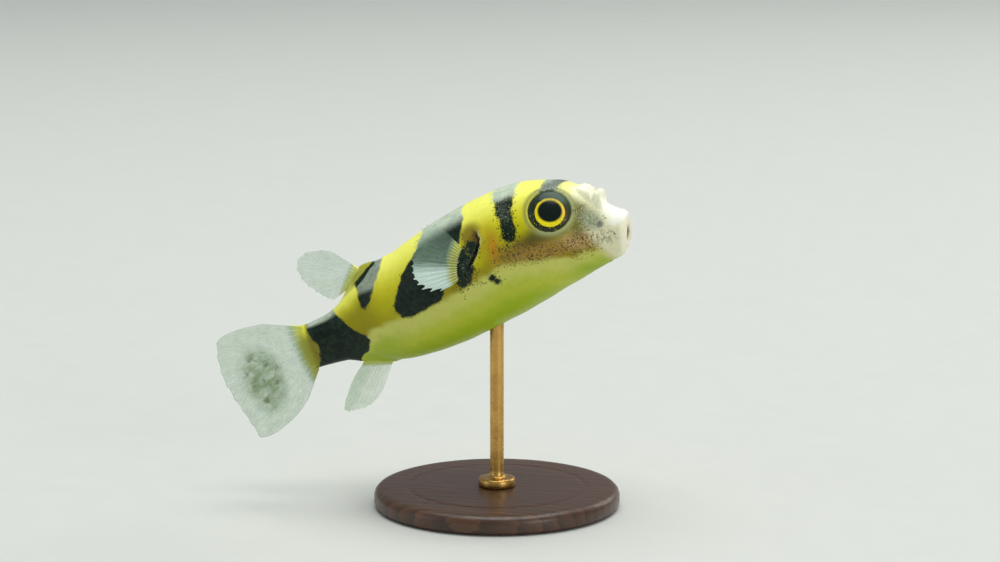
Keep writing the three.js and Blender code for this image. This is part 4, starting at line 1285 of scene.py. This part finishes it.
finMaterials = {name: makeFinMaterial(name, look) for name, look in finTissue.items()}
for name, look in fins.items():
    makeFin(name, look, midplane).data.materials.append(finMaterials[name])
for name, handed in (("pectoral_fin_left", 1), ("pectoral_fin_right", -1)):
    makeFin(name, pectoralFin, flankFrame(handed)).data.materials.append(finMaterials["pectoral_fin"])
print("fins done")

# Profiles of radius and height, the points round each ring, and the longest step along a profile.
stand = {
    "base": [[0.0, 0.0], [15.2, 0.0], [15.5, 0.12], [15.9, 0.45], [16.0, 0.8], [16.0, 1.6], [15.86, 2.05],
             [15.5, 2.42], [15.0, 2.57], [14.4, 2.6], [11.8, 2.6], [11.55, 2.5], [11.3, 2.6], [2.3, 2.6],
             [0.0, 2.6]],
    "baseSides": 160,
    "baseStep": 0.7,
    "rod": [[0.0, 2.62], [2.2, 2.62], [2.4, 2.75], [2.4, 3.4], [2.3, 3.7], [2.05, 3.8], [1.35, 3.82],
            [1.05, 3.95], [0.9, 4.25], [0.9, 26.9], [0.8, 27.1], [0.55, 27.2], [0.0, 27.2]],
    "rodSides": 64,
    "rodStep": 0.5,
}


# Turned piece: a profile of radius and height spun about the upright axis, with single end points.
def makeTurned(name, profile, around, split):
    profile = np.array(profile)
    turn = np.linspace(0, 2 * math.pi, around, endpoint=False)
    inner = []
    for one, two in zip(profile[:-1], profile[1:]):
        steps = max(1, int(np.ceil(np.linalg.norm(two - one) / split)))
        inner.append(one + (two - one) * np.linspace(0, 1, steps, endpoint=False)[:, None])
    path = np.concatenate(inner + [profile[-1:]])
    ring = path[1:-1]
    count = len(ring)
    height = np.broadcast_to(ring[:, 1:], (count, around))
    points = np.stack([ring[:, :1] * np.cos(turn), ring[:, :1] * np.sin(turn), height], -1)
    ends = np.array([[0, 0, path[0, 1]], [0, 0, path[-1, 1]]])
    faces = ringFaces(count, around) + poleFaces(count, around)
    piece = makeMesh(name + "_turned", np.concatenate([points.reshape(-1, 3), ends]) / 1000, faces)
    faceOutwards(piece)
    for polygon in piece.data.polygons:
        if len(polygon.vertices) == 3:
            polygon.use_smooth = False
    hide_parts(name)
    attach(piece, "root")
    return piece


# Oiled walnut: bands of grain across the disc, with dark open pores along them.
def makeWoodMaterial():
    constants = {"Coat Weight": 0.25, "Coat Roughness": 0.22}
    material, tree, shader = newMaterial("oiledWalnut", (70, 44, 28), constants)
    rings = addNode(tree, "ShaderNodeTexWave", wave_type="BANDS", bands_direction="Y", wave_profile="SAW")
    for label, value in (("Vector", millimetres(tree, (0.06, 0.9, 0.9))), ("Scale", 0.22),
                         ("Distortion", 5.0), ("Detail", 3.0), ("Detail Scale", 1.4)):
        feed(tree, rings.inputs[label], value)
    pores = noise(tree, millimetres(tree, (0.25, 5.0, 5.0)), 1.0, 3.0, 0.7)
    broad = noise(tree, millimetres(tree, (0.05, 0.4, 0.4)), 1.0, 3.0, 0.6)
    colour = mixColour(tree, rings.outputs["Fac"], (52, 31, 19), (92, 59, 36))
    colour = mixColour(tree, window(tree, broad, 0.35, 0.7, 0.0, 0.6), colour, (66, 39, 23))
    dark = window(tree, pores, 0.56, 0.66)
    colour = mixColour(tree, times(tree, dark, 0.6), colour, (26, 15, 9))
    rough = window(tree, pores, 0.3, 0.7, 0.34, 0.52)
    joinShader(tree, shader, colour, rough, calc(tree, "SUBTRACT", 1.0, dark), 0.3, 0.00006)
    return material


# Satin brass: a fine turned grain under broad patches of tarnish.
def makeBrassMaterial():
    material, tree, shader = newMaterial("satinBrass", (184, 142, 74), {"Metallic": 1.0})
    fine = noise(tree, millimetres(tree, (2.0, 2.0, 9.0)), 1.4, 3.0, 0.6)
    stain = noise(tree, millimetres(tree), 0.35, 4.0, 0.6)
    tarnish = window(tree, stain, 0.4, 0.72, 0.0, 0.6)
    colour = mixColour(tree, tarnish, (206, 164, 92), (150, 108, 56))
    joinShader(tree, shader, colour, window(tree, fine, 0.3, 0.7, 0.24, 0.42), fine, 0.15, 0.00003)
    return material


for name, part, slotName, makeMaterial in (("stand_base", "base", "stand_wood", makeWoodMaterial),
                                           ("stand_rod", "rod", "stand_brass", makeBrassMaterial)):
    piece = makeTurned(name, stand[part], stand[part + "Sides"], stand[part + "Step"])
    piece.data.materials.append(makeMaterial())
print("stand done")

studio = {
    "floorRings": [0.3, 1.2, 3.0],
    "floorSides": 96,
    "floorTone": (206, 209, 205),
    "worldTone": (0.86, 0.90, 0.92, 1.0),
    "worldStrength": 0.3,
    "lamps": [
        # name, place, width, power, colour
        ["key", (1.05, -0.75, 0.4), 0.7, 3.6, (1.0, 0.985, 0.95)],
        ["top", (0.05, 0.1, 1.2), 1.3, 15.5, (1.0, 1.0, 0.97)],
        ["fill", (-0.95, -0.6, 0.35), 0.7, 1.0, (0.95, 1.0, 0.98)],
        ["rim", (0.5, 0.85, 0.5), 0.6, 1.9, (1.0, 1.0, 0.97)],
    ],
}


# Floor: a disc of three rings of points closed at the middle.
def makeFloor():
    around, rings = studio["floorSides"], len(studio["floorRings"])
    turn = np.linspace(0, 2 * math.pi, around, endpoint=False)
    radii = np.array(studio["floorRings"])[:, None]
    points = np.stack([radii * np.cos(turn), radii * np.sin(turn), np.zeros((rings, around))], -1)
    points = np.concatenate([points.reshape(-1, 3), [[0, 0, 0]]])
    faces = ringFaces(rings, around, flip=True)
    faces += [[j, (j + 1) % around, rings * around] for j in range(around)]
    piece = makeMesh("floor", points, faces, smooth=False)
    tone = linear(*studio["floorTone"])
    material, tree, shader = newMaterial("paleFloor", studio["floorTone"], {})
    place = millimetres(tree)
    darker = tuple(c * 0.97 for c in tone[:3]) + (1.0,)
    slight = mixColour(tree, noise(tree, place, 0.05, 3.0), tone, darker)
    tree.links.new(slight, shader.inputs["Base Color"])
    rough = window(tree, noise(tree, place, 0.2), 0.3, 0.7, 0.6, 0.7)
    tree.links.new(rough, shader.inputs["Roughness"])
    piece.data.materials.append(material)


# A soft lamp turned to face the middle of the model.
def makeLamp(name, place, width, power, colour):
    data = bpy.data.lights.new(name, "AREA")
    data.shape = "DISK"
    data.size = width
    data.energy = power
    data.color = colour
    lamp = bpy.data.objects.new(name, data)
    lamp.location = place
    way = np.array([0.0, 0.0, 0.03]) - np.array(place)
    flat = math.hypot(way[0], way[1])
    lamp.rotation_euler = (math.atan2(flat, -way[2]), 0.0, math.atan2(way[1], way[0]) - math.pi / 2)
    bpy.context.collection.objects.link(lamp)


makeFloor()
for lamp in studio["lamps"]:
    makeLamp(*lamp)
world = bpy.data.worlds.new("studio")
world.use_nodes = True
backdrop = next(n for n in world.node_tree.nodes if n.type == "BACKGROUND")
backdrop.inputs["Color"].default_value = studio["worldTone"]
backdrop.inputs["Strength"].default_value = studio["worldStrength"]
bpy.context.scene.world = world
print("studio done")
